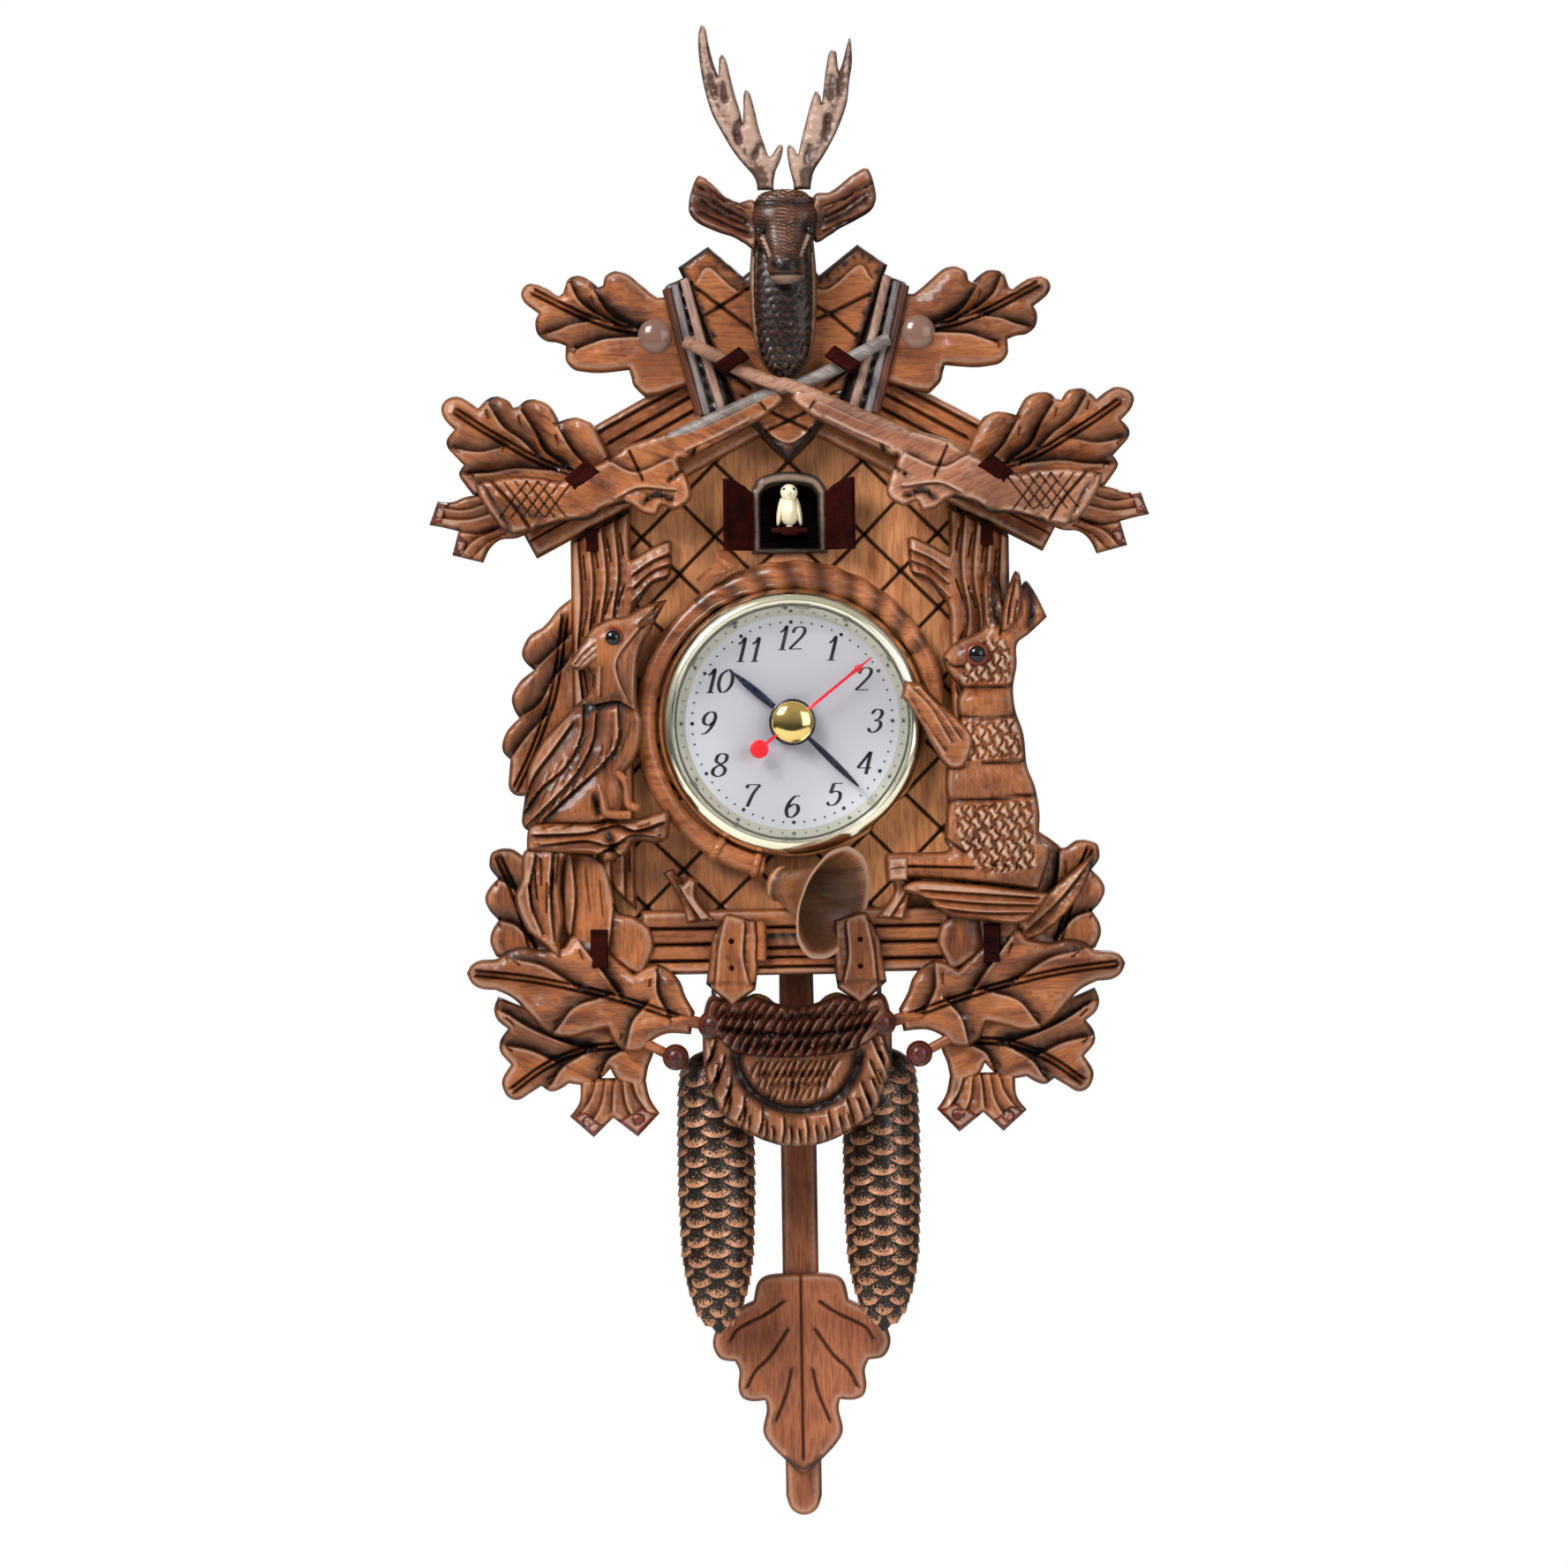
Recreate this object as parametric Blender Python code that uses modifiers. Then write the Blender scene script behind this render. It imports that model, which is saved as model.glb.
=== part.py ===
"""A small quartz cuckoo clock in the hunting style, modelled as its separate pieces.

Every piece is placed by three numbers in millimetres, measured from the centre of the dial:
across (to the right), up, and forward (out of the wall, which is at 0). The finished scene is in
metres with +Z up, the wall is the plane Y = 0, and the origin is where the wall nail carries the
clock. The left and right are those of someone who faces the clock.
"""

import math

import bmesh
import bpy
from mathutils import Matrix, Vector

MM = 0.001
NAIL_ABOVE_DIAL = 97.0
FACING = (math.radians(90), 0, 0)

# Depths of the layers of the case, forward of the wall.
GAP = 0.3
BACK_THICK = 4.0
PANEL_BACK = 58.0
PANEL_FRONT = 63.0
FIRST_LAYER = (PANEL_FRONT + GAP, 70.0)
SECOND_LAYER = (70.3, 76.0)
RIFLE_LAYERS = (("left", (76.3, 81.0)), ("right", (81.3, 86.0)))
ANIMAL_BACK = 70.3
ANTLER_LAYER = (83.4, 86.4)
ANTLER_LIFT = 0.8

# The case.
CASE_HALF = 69.5
CASE_BOTTOM = -79.5
SIDE_THICK = 5.0
SIDE_TOP = 82.0
INNER_HALF = CASE_HALF - SIDE_THICK - GAP
ROOF_APEX = 128.3
ROOF_SLOPE = math.atan(0.5437)
ROOF_REACH = 93.4
ROOF_THICK = 7.0
BARGE_WIDTH = 28.0
BACK_OPENING = (-57.0, 57.0, -66.0, 44.0)

# The dial and its hands.
BEZEL_OUTER = 42.5
BEZEL_BORE = 37.3
DIAL_RADIUS = 37.0
DIAL_FRONT = 64.2
HOUR_ANGLE = math.radians(310.6)
MINUTE_ANGLE = math.radians(135.0)
SECOND_ANGLE = math.radians(51.6)

# The cuckoo's doorway.
DOOR_HINGE = 12.0
DOOR_DEPTH = 67.1
DOOR_OPEN = math.radians(135.0)

# The movement: wheel layers as (back, front) depths.
CASE_FRONT_WALL = 55.7
HOUR_LAYER = (54.0, 55.2)
CANNON_LAYER = (52.5, 53.7)
CENTRE_LAYER = (51.2, 52.2)
THIRD_LAYER = (49.9, 50.9)
SECOND_WHEEL_LAYER = (48.6, 49.6)
COVER_BACK = 39.7
COVER_FRONT = 41.7
MINUTE_WHEEL_DISTANCE = 11.2
THIRD_WHEEL_DISTANCE = 10.2
ROTOR_DISTANCE = 9.8
MINUTE_WHEEL_BEARING = math.radians(-60)
THIRD_WHEEL_BEARING = math.radians(90)
ROTOR_BEARING = math.radians(180)

# The pendulum and the pine cones.
PENDULUM_PIVOT = -34.0
PENDULUM_BACK = 25.0
CONE_ACROSS = 26.0
CONE_FORWARD = 47.5
CONE_PIVOT = -84.35

WOODS = {
    "panel_wood": ((0.52, 0.215, 0.088), 0.45),
    "carved_wood": ((0.305, 0.092, 0.032), 0.5),
    "deer_wood": ((0.06, 0.032, 0.022), 0.5),
    "antler": ((0.38, 0.24, 0.185), 0.5),
    "cone_paint": ((0.09, 0.045, 0.025), 0.4),
    "plain_wood": ((0.36, 0.2, 0.1), 0.7),
    "door_wood": ((0.045, 0.01, 0.006), 0.45),
    "ivory_plastic": ((0.83, 0.75, 0.58), 0.4),
    "dial_print": ((0.68, 0.68, 0.76), 0.4),
    "hand_paint": ((0.008, 0.008, 0.024), 0.35),
    "movement_plastic": ((0.03, 0.03, 0.032), 0.5),
    "gear_plastic": ((0.75, 0.75, 0.7), 0.4),
    "board_green": ((0.01, 0.11, 0.035), 0.45),
    "cell_wrap": ((0.02, 0.08, 0.2), 0.35),
    "speaker_black": ((0.015, 0.015, 0.015), 0.6),
    "lens": ((0.9, 0.95, 0.95), 0.05),
}
METALS = {
    "brass": ((0.78, 0.47, 0.16), 0.18),
    "steel": ((0.55, 0.55, 0.56), 0.35),
}


# ---------------------------------------------------------------- tools


def clear_scene():
    for obj in list(bpy.data.objects):
        bpy.data.objects.remove(obj, do_unlink=True)


def new_collection(name):
    made = bpy.data.collections.new(name)
    bpy.context.scene.collection.children.link(made)
    return made


def paint(obj, finish):
    """Gives a piece its own material, with the colour and gloss of one finish."""
    metallic = finish in METALS
    colour, roughness = (METALS if metallic else WOODS)[finish]
    material = bpy.data.materials.new(obj.name)
    material.use_nodes = True
    shader = material.node_tree.nodes["Principled BSDF"]
    shader.inputs["Base Color"].default_value = (*colour, 1)
    shader.inputs["Roughness"].default_value = roughness
    shader.inputs["Metallic"].default_value = float(metallic)
    if finish == "lens":
        shader.inputs["Transmission Weight"].default_value = 1.0
    material.diffuse_color = (*colour, 0.3 if finish == "lens" else 1)
    obj.data.materials.clear()
    obj.data.materials.append(material)


def place(across, up, forward):
    return Vector((across, -forward, up - NAIL_ABOVE_DIAL)) * MM


def add(name, data, at, turn=0.0):
    """An object that faces the viewer: its own X is across, Y is up and Z is forward."""
    obj = bpy.data.objects.new(name, data)
    obj.location = place(*at)
    obj.rotation_euler = (FACING[0], 0, turn)
    PIECES.objects.link(obj)
    return obj


def board(name, outline, layer, pivot=(0, 0), holes=(), turn=0.0):
    """A flat board: outlines in across and up, between two depths, with its origin at the pivot."""
    back, front = layer
    curve = bpy.data.curves.new(name, "CURVE")
    curve.dimensions = "2D"
    curve.fill_mode = "BOTH"
    curve.extrude = (front - back) / 2 * MM
    for points in (outline, *holes):
        spline = curve.splines.new("POLY")
        spline.points.add(len(points) - 1)
        for point, (across, up) in zip(spline.points, points):
            point.co = ((across - pivot[0]) * MM, (up - pivot[1]) * MM, 0, 1)
        spline.use_cyclic_u = True
    return add(name, curve, (pivot[0], pivot[1], (back + front) / 2), turn)


def turned(name, profile, centre=(0, 0), steps=24, closed=False):
    """A turned piece on a forward axis: a profile of (radius, forward), outer side front to back."""
    mesh = bpy.data.meshes.new(name)
    points = [(radius * MM, 0, forward * MM) for radius, forward in profile]
    edges = [(index, index + 1) for index in range(len(points) - 1)]
    if closed:
        edges.append((len(points) - 1, 0))
    mesh.from_pydata(points, edges, [])
    obj = add(name, mesh, (centre[0], centre[1], 0))
    screw = obj.modifiers.new("turn", "SCREW")
    screw.axis = "Z"
    screw.steps = steps
    screw.render_steps = steps
    screw.use_merge_vertices = True
    screw.merge_threshold = 0.00001
    screw.use_smooth_shade = True
    return obj


def drum(name, radius, back, front, centre=(0, 0), steps=16):
    """A plain round bar on a forward axis."""
    return turned(name, [(0, front), (radius, front), (radius, back), (0, back)], centre, steps)


def tube(name, radius, bore, back, front, centre=(0, 0), steps=16):
    """A round bar with a bore through it."""
    profile = [(bore, front), (radius, front), (radius, back), (bore, back)]
    return turned(name, profile, centre, steps, closed=True)


def block(name, left, right, low, high, back, front):
    """A rectangular block between two values each of across, up and forward."""
    made = bmesh.new()
    bmesh.ops.create_cube(made, size=1.0)
    size = Vector((right - left, high - low, front - back)) * MM
    bmesh.ops.scale(made, vec=size, verts=made.verts)
    mesh = bpy.data.meshes.new(name)
    made.to_mesh(mesh)
    made.free()
    return add(name, mesh, ((left + right) / 2, (low + high) / 2, (back + front) / 2))


def ball(name, centre, radii, tilt=0.0, segments=12):
    """An egg-shaped lump, with its half sizes across, up and forward, tilted in the wall's plane."""
    made = bmesh.new()
    bmesh.ops.create_uvsphere(made, u_segments=segments, v_segments=segments // 2 + 1, radius=1.0)
    bmesh.ops.scale(made, vec=Vector(radii) * MM, verts=made.verts)
    turn = Matrix.Rotation(tilt, 3, "Z")
    bmesh.ops.rotate(made, cent=(0, 0, 0), matrix=turn, verts=made.verts)
    mesh = bpy.data.meshes.new(name)
    made.to_mesh(mesh)
    made.free()
    return add(name, mesh, centre)


def rod(name, path, thickness, sides=2):
    """A bent rod along points of (across, up, forward, radius)."""
    curve = bpy.data.curves.new(name, "CURVE")
    curve.dimensions = "3D"
    curve.bevel_depth = thickness * MM
    curve.bevel_resolution = sides
    curve.use_fill_caps = True
    spline = curve.splines.new("POLY")
    spline.points.add(len(path) - 1)
    for point, (across, up, forward, radius) in zip(spline.points, path):
        point.co = (across * MM, up * MM, forward * MM, 1)
        point.radius = radius / thickness
    return add(name, curve, (0, 0, 0))


def as_mesh(obj):
    """The same piece as a closed mesh that a Boolean can use."""
    bpy.context.view_layer.update()
    graph = bpy.context.evaluated_depsgraph_get()
    mesh = bpy.data.meshes.new_from_object(obj.evaluated_get(graph))
    made = bmesh.new()
    made.from_mesh(mesh)
    bmesh.ops.remove_doubles(made, verts=made.verts, dist=0.000001)
    bmesh.ops.recalc_face_normals(made, faces=made.faces)
    made.to_mesh(mesh)
    made.free()
    solid = bpy.data.objects.new(obj.name, mesh)
    solid.matrix_world = obj.matrix_world.copy()
    PIECES.objects.link(solid)
    name = obj.name
    bpy.data.objects.remove(obj, do_unlink=True)
    solid.name = name
    return solid


def combined(name, base, others, operation="UNION"):
    """One closed piece: the base with the others added to it, or cut from it."""
    result = as_mesh(base)
    for other in others:
        tool = as_mesh(other)
        boolean = result.modifiers.new("combine", "BOOLEAN")
        boolean.object = tool
        boolean.operation = operation
        result = as_mesh(result)
        bpy.data.objects.remove(tool, do_unlink=True)
    result.name = name
    return result


def mirrored(outline, side):
    """The outline as it is drawn for the left, or its mirror image for the right."""
    return outline if side == "left" else [(-across, up) for across, up in outline]


def arc(centre, radius, start, end, steps):
    """Points along a circular arc between two angles in degrees."""
    for index in range(steps + 1):
        angle = math.radians(start + (end - start) * index / steps)
        yield centre[0] + radius * math.cos(angle), centre[1] + radius * math.sin(angle)


def clockwise(outline, angle, centre=(0, 0)):
    """An outline drawn pointing up, turned clockwise about a centre."""
    sine, cosine = math.sin(angle), math.cos(angle)
    return [
        (centre[0] + x * cosine + y * sine, centre[1] - x * sine + y * cosine)
        for x, y in outline
    ]


# ---------------------------------------------------------------- the case


def roof_line(across, below=0.0):
    """Height of the roof's top face at a distance from the middle, or of a line below it."""
    return ROOF_APEX - abs(across) * math.tan(ROOF_SLOPE) - below / math.cos(ROOF_SLOPE)


def arched(half_width, bottom, top, steps=6):
    """A doorway outline: straight jambs and a shallow arch over them."""
    spring = top - 0.42 * half_width
    rise = top - spring
    points = [(-half_width, bottom), (half_width, bottom)]
    for index in range(steps + 1):
        angle = math.pi * index / steps
        points.append((half_width * math.cos(angle), spring + rise * math.sin(angle)))
    return points


def circle(radius, steps=24, centre=(0, 0)):
    return list(arc(centre, radius, 0, 360 - 360 / steps, steps - 1))


def make_case():
    gable = [(-CASE_HALF, CASE_BOTTOM), (CASE_HALF, CASE_BOTTOM), (CASE_HALF, SIDE_TOP)]
    gable += [(0, roof_line(0, ROOF_THICK) - GAP), (-CASE_HALF, SIDE_TOP)]
    holes = (circle(4.6, 16), arched(9.0, 55.3, 75.8))
    panel = board("front_panel", gable, (PANEL_BACK, PANEL_FRONT), holes=holes)
    paint(panel, "panel_wood")
    for side, sign in (("left", -1), ("right", 1)):
        edges = sorted((sign * CASE_HALF, sign * (CASE_HALF - SIDE_THICK)))
        wall = block(f"side_{side}", *edges, CASE_BOTTOM, SIDE_TOP, 0, PANEL_BACK - GAP)
        paint(wall, "carved_wood")
        make_roof(side)
    make_bottom_board()
    make_back()


def make_roof(side):
    ridge = GAP / 2
    ends = [(-ridge, roof_line(ridge)), (-ROOF_REACH, roof_line(ROOF_REACH))]
    drop = math.sin(ROOF_SLOPE), math.cos(ROOF_SLOPE)
    for name, thick, layer in (
        ("roof", ROOF_THICK, (0, PANEL_FRONT)),
        ("bargeboard", BARGE_WIDTH, FIRST_LAYER),
    ):
        corner = (-ROOF_REACH + thick * drop[0], roof_line(ROOF_REACH) - thick * drop[1])
        outline = [*ends, corner, (-ridge, roof_line(ridge, thick))]
        paint(board(f"{name}_{side}", mirrored(outline, side), layer), "carved_wood")


def make_bottom_board():
    floor = block(
        "bottom_board", -INNER_HALF, INNER_HALF, CASE_BOTTOM, CASE_BOTTOM + 5, 0, PANEL_BACK - GAP
    )
    slot = block("slot", -18, 18, CASE_BOTTOM - 5, CASE_BOTTOM + 10, 21.5, 33.5)
    floor = combined("bottom_board", floor, [slot], "DIFFERENCE")
    posts = []
    for sign in (-1, 1):
        across = sign * CONE_ACROSS
        low, high = CONE_PIVOT + GAP / 2, CASE_BOTTOM + 2
        reach = (across - 1.2, across + 1.2, low, high, CONE_FORWARD - 1.2, CONE_FORWARD + 1.2)
        posts.append(block("post", *reach))
    paint(combined("bottom_board", floor, posts), "plain_wood")


def keyhole(radius, slot):
    """A keyhole: a round hole for the nail's head, with a narrow slot above it."""
    hole = list(arc((0, NAIL_ABOVE_DIAL - 7), radius, 120, 420, 8))
    top = list(arc((0, NAIL_ABOVE_DIAL - slot), slot, 0, 180, 4))
    return hole + top


def make_back():
    left, right, low, high = BACK_OPENING
    bottom = CASE_BOTTOM + 5 + GAP
    eaves = roof_line(INNER_HALF, ROOF_THICK) - GAP * 2
    outline = [(-INNER_HALF, bottom), (INNER_HALF, bottom), (INNER_HALF, eaves)]
    outline += [(0, roof_line(0, ROOF_THICK) - GAP * 2), (-INNER_HALF, eaves)]
    opening = [(left, low), (right, low), (right, high), (left, high)]
    keyway = keyhole(6.5, 4.5)
    back = board("back_board", outline, (0, BACK_THICK), holes=(opening, keyway))
    paint(back, "plain_wood")

    edge = GAP
    cover = [(left + edge, low + edge), (right - edge, low + edge)]
    cover += [(right - edge, high - edge), (left + edge, high - edge)]
    slots = []
    for row in range(5):
        up = -20 + row * 6
        slots.append([(-34, up), (-6, up), (-6, up + 2.4), (-34, up + 2.4)])
    pivot = (left + edge, 0)
    door = board("back_door", cover, (0.2, BACK_THICK - 0.2), pivot=pivot, holes=slots)
    paint(door, "plain_wood")

    basket = [(0, 16), (9, 16), (9, 11), (12, 10.5), (19, 5.6), (19, BACK_THICK + 0.1)]
    basket += [(17.4, BACK_THICK + 0.1), (4, 6.2), (0, 6.6)]
    paint(turned("speaker", basket, (-20, -7)), "speaker_black")

    rise = NAIL_ABOVE_DIAL
    plate = [(-14, rise - 17), (14, rise - 17), (14, rise + 7), (-14, rise + 7)]
    layer = (BACK_THICK + GAP, BACK_THICK + 1.5)
    paint(board("hanger_plate", plate, layer, holes=(keyhole(5.0, 2.2),)), "steel")


# ---------------------------------------------------------------- the carvings

LEAF_UPPER = [
    (-83.8, 136.5), (-80.6, 140.0), (-74.8, 138.0), (-71.9, 136.0), (-69.0, 140.8),
    (-64.0, 142.0), (-59.3, 138.6), (-57.2, 141.5), (-52.8, 143.5), (-46.0, 139.4),
    (-40.6, 135.0), (-40.2, 120.0), (-43.5, 104.0), (-48.5, 107.0), (-50.0, 112.2),
    (-59.0, 111.4), (-67.6, 112.7), (-69.8, 120.1), (-75.9, 121.7), (-79.3, 125.7),
    (-78.2, 130.4), (-82.7, 134.0),
]
LEAF_EAVE = [
    (-109.6, 100.8), (-106.5, 104.3), (-100.7, 103.0), (-97.8, 100.8), (-94.2, 104.1),
    (-88.5, 103.4), (-86.7, 100.8), (-82.7, 103.1), (-75.5, 101.6), (-72.3, 96.2),
    (-66.2, 97.4), (-61.0, 94.4), (-56.0, 84.3), (-69.0, 76.0), (-80.0, 66.0),
    (-87.0, 60.4), (-95.0, 56.2), (-97.1, 51.9), (-106.8, 54.4), (-104.7, 62.0),
    (-113.9, 64.1), (-111.2, 71.5), (-100.0, 73.4), (-104.0, 80.0), (-102.7, 82.8),
    (-107.6, 88.2), (-105.4, 94.0),
]
LEAF_LOWER = [
    (-89.5, -38.8), (-93.0, -38.7), (-96.8, -43.0), (-94.2, -48.2), (-98.3, -54.8),
    (-94.2, -61.4), (-96.8, -68.7), (-95.0, -73.3), (-104.3, -77.9), (-95.3, -83.4),
    (-96.0, -89.3), (-91.7, -95.9), (-94.2, -101.0), (-90.9, -107.2), (-93.7, -114.2),
    (-88.7, -118.5), (-81.4, -114.2), (-69.3, -115.0), (-72.5, -124.0), (-65.0, -130.7),
    (-58.7, -124.6), (-51.0, -130.7), (-44.0, -123.4), (-48.4, -114.2), (-44.0, -105.0),
    (-33.7, -98.4), (-32.3, -91.5), (-36.7, -82.0), (-38.5, -79.9), (-49.4, -79.9),
    (-49.4, -62.0), (-50.2, -59.6), (-56.5, -54.0), (-59.4, -49.0), (-63.0, -46.0),
    (-70.0, -43.5), (-80.0, -40.5),
]
LEAF_SIDE = [
    (-69.9, 41.0), (-73.4, 37.4), (-79.0, 31.0), (-83.0, 28.6), (-85.4, 23.8),
    (-81.8, 17.8), (-88.8, 9.4), (-86.6, 2.6), (-92.0, -5.0), (-89.6, -10.6),
    (-90.2, -19.4), (-85.0, -22.2), (-80.0, -29.0), (-69.9, -29.0),
]
TRUNK = [
    (-69.5, 58.0), (-69.5, -42.0), (-63.0, -45.4), (-58.9, -48.4), (-56.0, -53.6),
    (-50.3, -58.7), (-50.3, 35.0), (-47.8, 39.0), (-43.8, 44.2), (-39.4, 45.8),
    (-37.4, 57.8), (-43.8, 56.2), (-50.3, 51.8), (-50.3, 68.0),
]
RIFLE = [
    (-98.9, 77.0), (-95.8, 68.5), (-91.0, 62.7), (-87.0, 60.5), (-78.8, 62.0),
    (-71.2, 64.5), (-63.3, 64.5), (-59.0, 68.0), (-50.3, 69.5), (-46.0, 66.5),
    (-36.0, 67.0), (-30.0, 71.5), (-31.0, 80.0), (-37.3, 85.7), (-1.3, 100.3),
    (33.0, 116.8), (31.3, 119.9), (-6.7, 104.0), (-26.7, 95.5), (-50.3, 87.9),
    (-56.0, 84.3), (-70.5, 77.4), (-85.6, 78.8),
]
CREST_HALF = [
    (0.0, 82.0), (-16.3, 99.0), (-27.3, 96.3), (-39.0, 136.3), (-34.0, 144.3),
    (-24.3, 150.9), (-13.3, 141.3), (0.0, 146.0),
]
WOODPECKER = [
    (-39.0, 39.4), (-47.0, 37.4), (-56.6, 33.8), (-64.6, 28.6), (-69.8, 19.8),
    (-63.0, 15.0), (-68.6, 6.2), (-79.8, -5.8), (-83.8, -13.8), (-86.0, -30.6),
    (-84.6, -39.4), (-88.7, -54.8), (-85.0, -64.3), (-74.8, -73.9), (-73.3, -59.2),
    (-72.0, -41.2), (-59.8, -43.4), (-50.2, -37.0), (-39.8, -36.2), (-39.8, -27.0),
    (-50.2, -29.8), (-54.2, -17.0), (-50.2, -11.4), (-47.8, -5.0), (-49.0, 7.0),
    (-48.6, 19.0), (-43.8, 31.0),
]
RABBIT = [
    (48.0, 20.0), (54.0, 25.5), (60.5, 28.0), (61.5, 46.0), (66.5, 40.0), (71.5, 46.5),
    (73.0, 42.0), (75.5, 43.7), (81.0, 32.0), (71.0, 23.5), (70.0, 10.0), (73.0, -5.0),
    (76.5, -22.0), (77.7, -38.0), (81.0, -41.5), (78.0, -54.0), (56.0, -51.5),
    (29.0, -49.0), (29.0, -43.0), (48.0, -41.5), (47.5, -31.0), (48.0, -15.0),
    (44.0, -6.0), (43.6, 1.0), (43.8, 8.0), (48.0, 8.5), (54.0, 12.0),
]
LEDGE = [
    (34.0, -53.8), (38.0, -50.6), (80.5, -55.5), (76.0, -62.0), (70.0, -65.0),
    (48.0, -62.0), (41.0, -56.5),
]
ANTLER_LEFT = [
    (-3.0, 166.5), (-9.0, 170.5), (-12.0, 175.6), (-19.7, 186.4), (-25.8, 204.0),
    (-26.4, 212.3), (-25.0, 219.8), (-22.8, 206.0), (-19.1, 210.4), (-20.0, 198.0),
    (-17.4, 190.0), (-11.5, 199.0), (-13.8, 184.0), (-8.0, 176.5), (-0.7, 181.6),
]
ANTLER_RIGHT = [
    (3.0, 166.5), (8.4, 168.5), (13.8, 180.7), (18.3, 189.5), (20.8, 199.7),
    (22.0, 209.0), (21.0, 214.9), (18.6, 203.5), (16.0, 211.4), (15.6, 197.0),
    (14.2, 190.5), (10.7, 198.4), (10.6, 184.5), (6.6, 176.5), (1.8, 181.6),
]


def make_crest():
    outline = CREST_HALF + [(-across, up) for across, up in CREST_HALF[-2:0:-1]]
    paint(board("crest_shield", outline, SECOND_LAYER), "carved_wood")
    for side, layer in RIFLE_LAYERS:
        paint(board(f"rifle_{side}", mirrored(RIFLE, side), layer), "carved_wood")
    neck = ball("neck", (-0.7, 130, 83.6), (10.5, 21.5, 7.2))
    lumps = [
        ball("skull", (-0.5, 157.5, 87), (9.8, 9.6, 9.6)),
        ball("jaw", (0, 147, 93), (5.6, 9, 7.4)),
        ball("ear", (-17.8, 163, 84.5), (11.8, 5.2, 2.8), math.radians(-28)),
        ball("ear", (17.2, 163.5, 84.5), (11.8, 5.2, 2.8), math.radians(28)),
    ]
    paint(combined("deer_head", neck, lumps), "deer_wood")
    # Each antler begins just above the round of the skull.
    paint(board("antler_left", [(x, z + ANTLER_LIFT) for x, z in ANTLER_LEFT], ANTLER_LAYER), "antler")
    paint(board("antler_right", [(x, z + ANTLER_LIFT) for x, z in ANTLER_RIGHT], ANTLER_LAYER), "antler")


def make_leaves():
    for side in ("left", "right"):
        for name, outline, layer in (
            ("leaf_upper", LEAF_UPPER, SECOND_LAYER),
            ("leaf_eave", LEAF_EAVE, SECOND_LAYER),
            ("leaf_lower", LEAF_LOWER, FIRST_LAYER),
            ("trunk", TRUNK, FIRST_LAYER),
        ):
            paint(board(f"{name}_{side}", mirrored(outline, side), layer), "carved_wood")
    paint(board("leaf_side_left", LEAF_SIDE, FIRST_LAYER), "carved_wood")


def make_animals():
    paint(board("woodpecker", WOODPECKER, (ANIMAL_BACK, 81.0)), "carved_wood")
    paint(board("rabbit", RABBIT, (ANIMAL_BACK, 82.0)), "carved_wood")
    paint(board("rabbit_ledge", LEDGE, (ANIMAL_BACK, 81.0)), "carved_wood")


def make_horn():
    """The hunting horn: a ring round the dial that opens into a bell below it."""
    ring, depth = 46.6, 67.0
    path = []
    for across, up in arc((0, 0), ring, 4, 262, 34):
        swell = 3.1 if up > 30 else 2.7
        path.append((across, up, depth, swell))
    path += [
        (-2.5, -47.6, 70.5, 3.0),
        (1.5, -50.0, 75.0, 4.2),
        (5.5, -53.4, 80.0, 6.5),
        (9.0, -57.0, 84.5, 10.0),
        (10.6, -58.8, 86.5, 12.5),
    ]
    paint(rod("hunting_horn", path, 3.0), "carved_wood")


def make_bag():
    beam = block("lower_beam", -49, 49, CASE_BOTTOM, -59, *FIRST_LAYER)
    paint(beam, "carved_wood")
    pouch = [(-28, -93.5), (-20, -90)]
    pouch += [(20, -90), (28, -93.5), (29, -104)]
    for index in range(1, 12):
        angle = math.pi * index / 12
        pouch.append((29 * math.cos(angle), -104 - 30.4 * math.sin(angle) ** 0.9))
    pouch.append((-29, -104))
    bag = board("bag", pouch, (61.2, 78.0))
    straps = []
    for side in ("left", "right"):
        strap = [(-28.0, -62), (-13.2, -62), (-13.2, -96), (-28.6, -96), (-29.3, -72)]
        straps.append(board("strap", mirrored(strap, side), (ANIMAL_BACK, 73.5)))
    paint(combined("game_bag", bag, straps), "carved_wood")


# ---------------------------------------------------------------- dial and hands


def hand_outline(length, width):
    """A leaf-shaped hand that points up, round at its boss."""
    boss = list(arc((0, 0), 3.4, 60, -240, 10))
    left = [(-width * 0.35, length * 0.35), (-width / 2, length * 0.62)]
    right = [(-across, up) for across, up in left[::-1]]
    return [*boss, *left, (0, length), *right]


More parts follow.
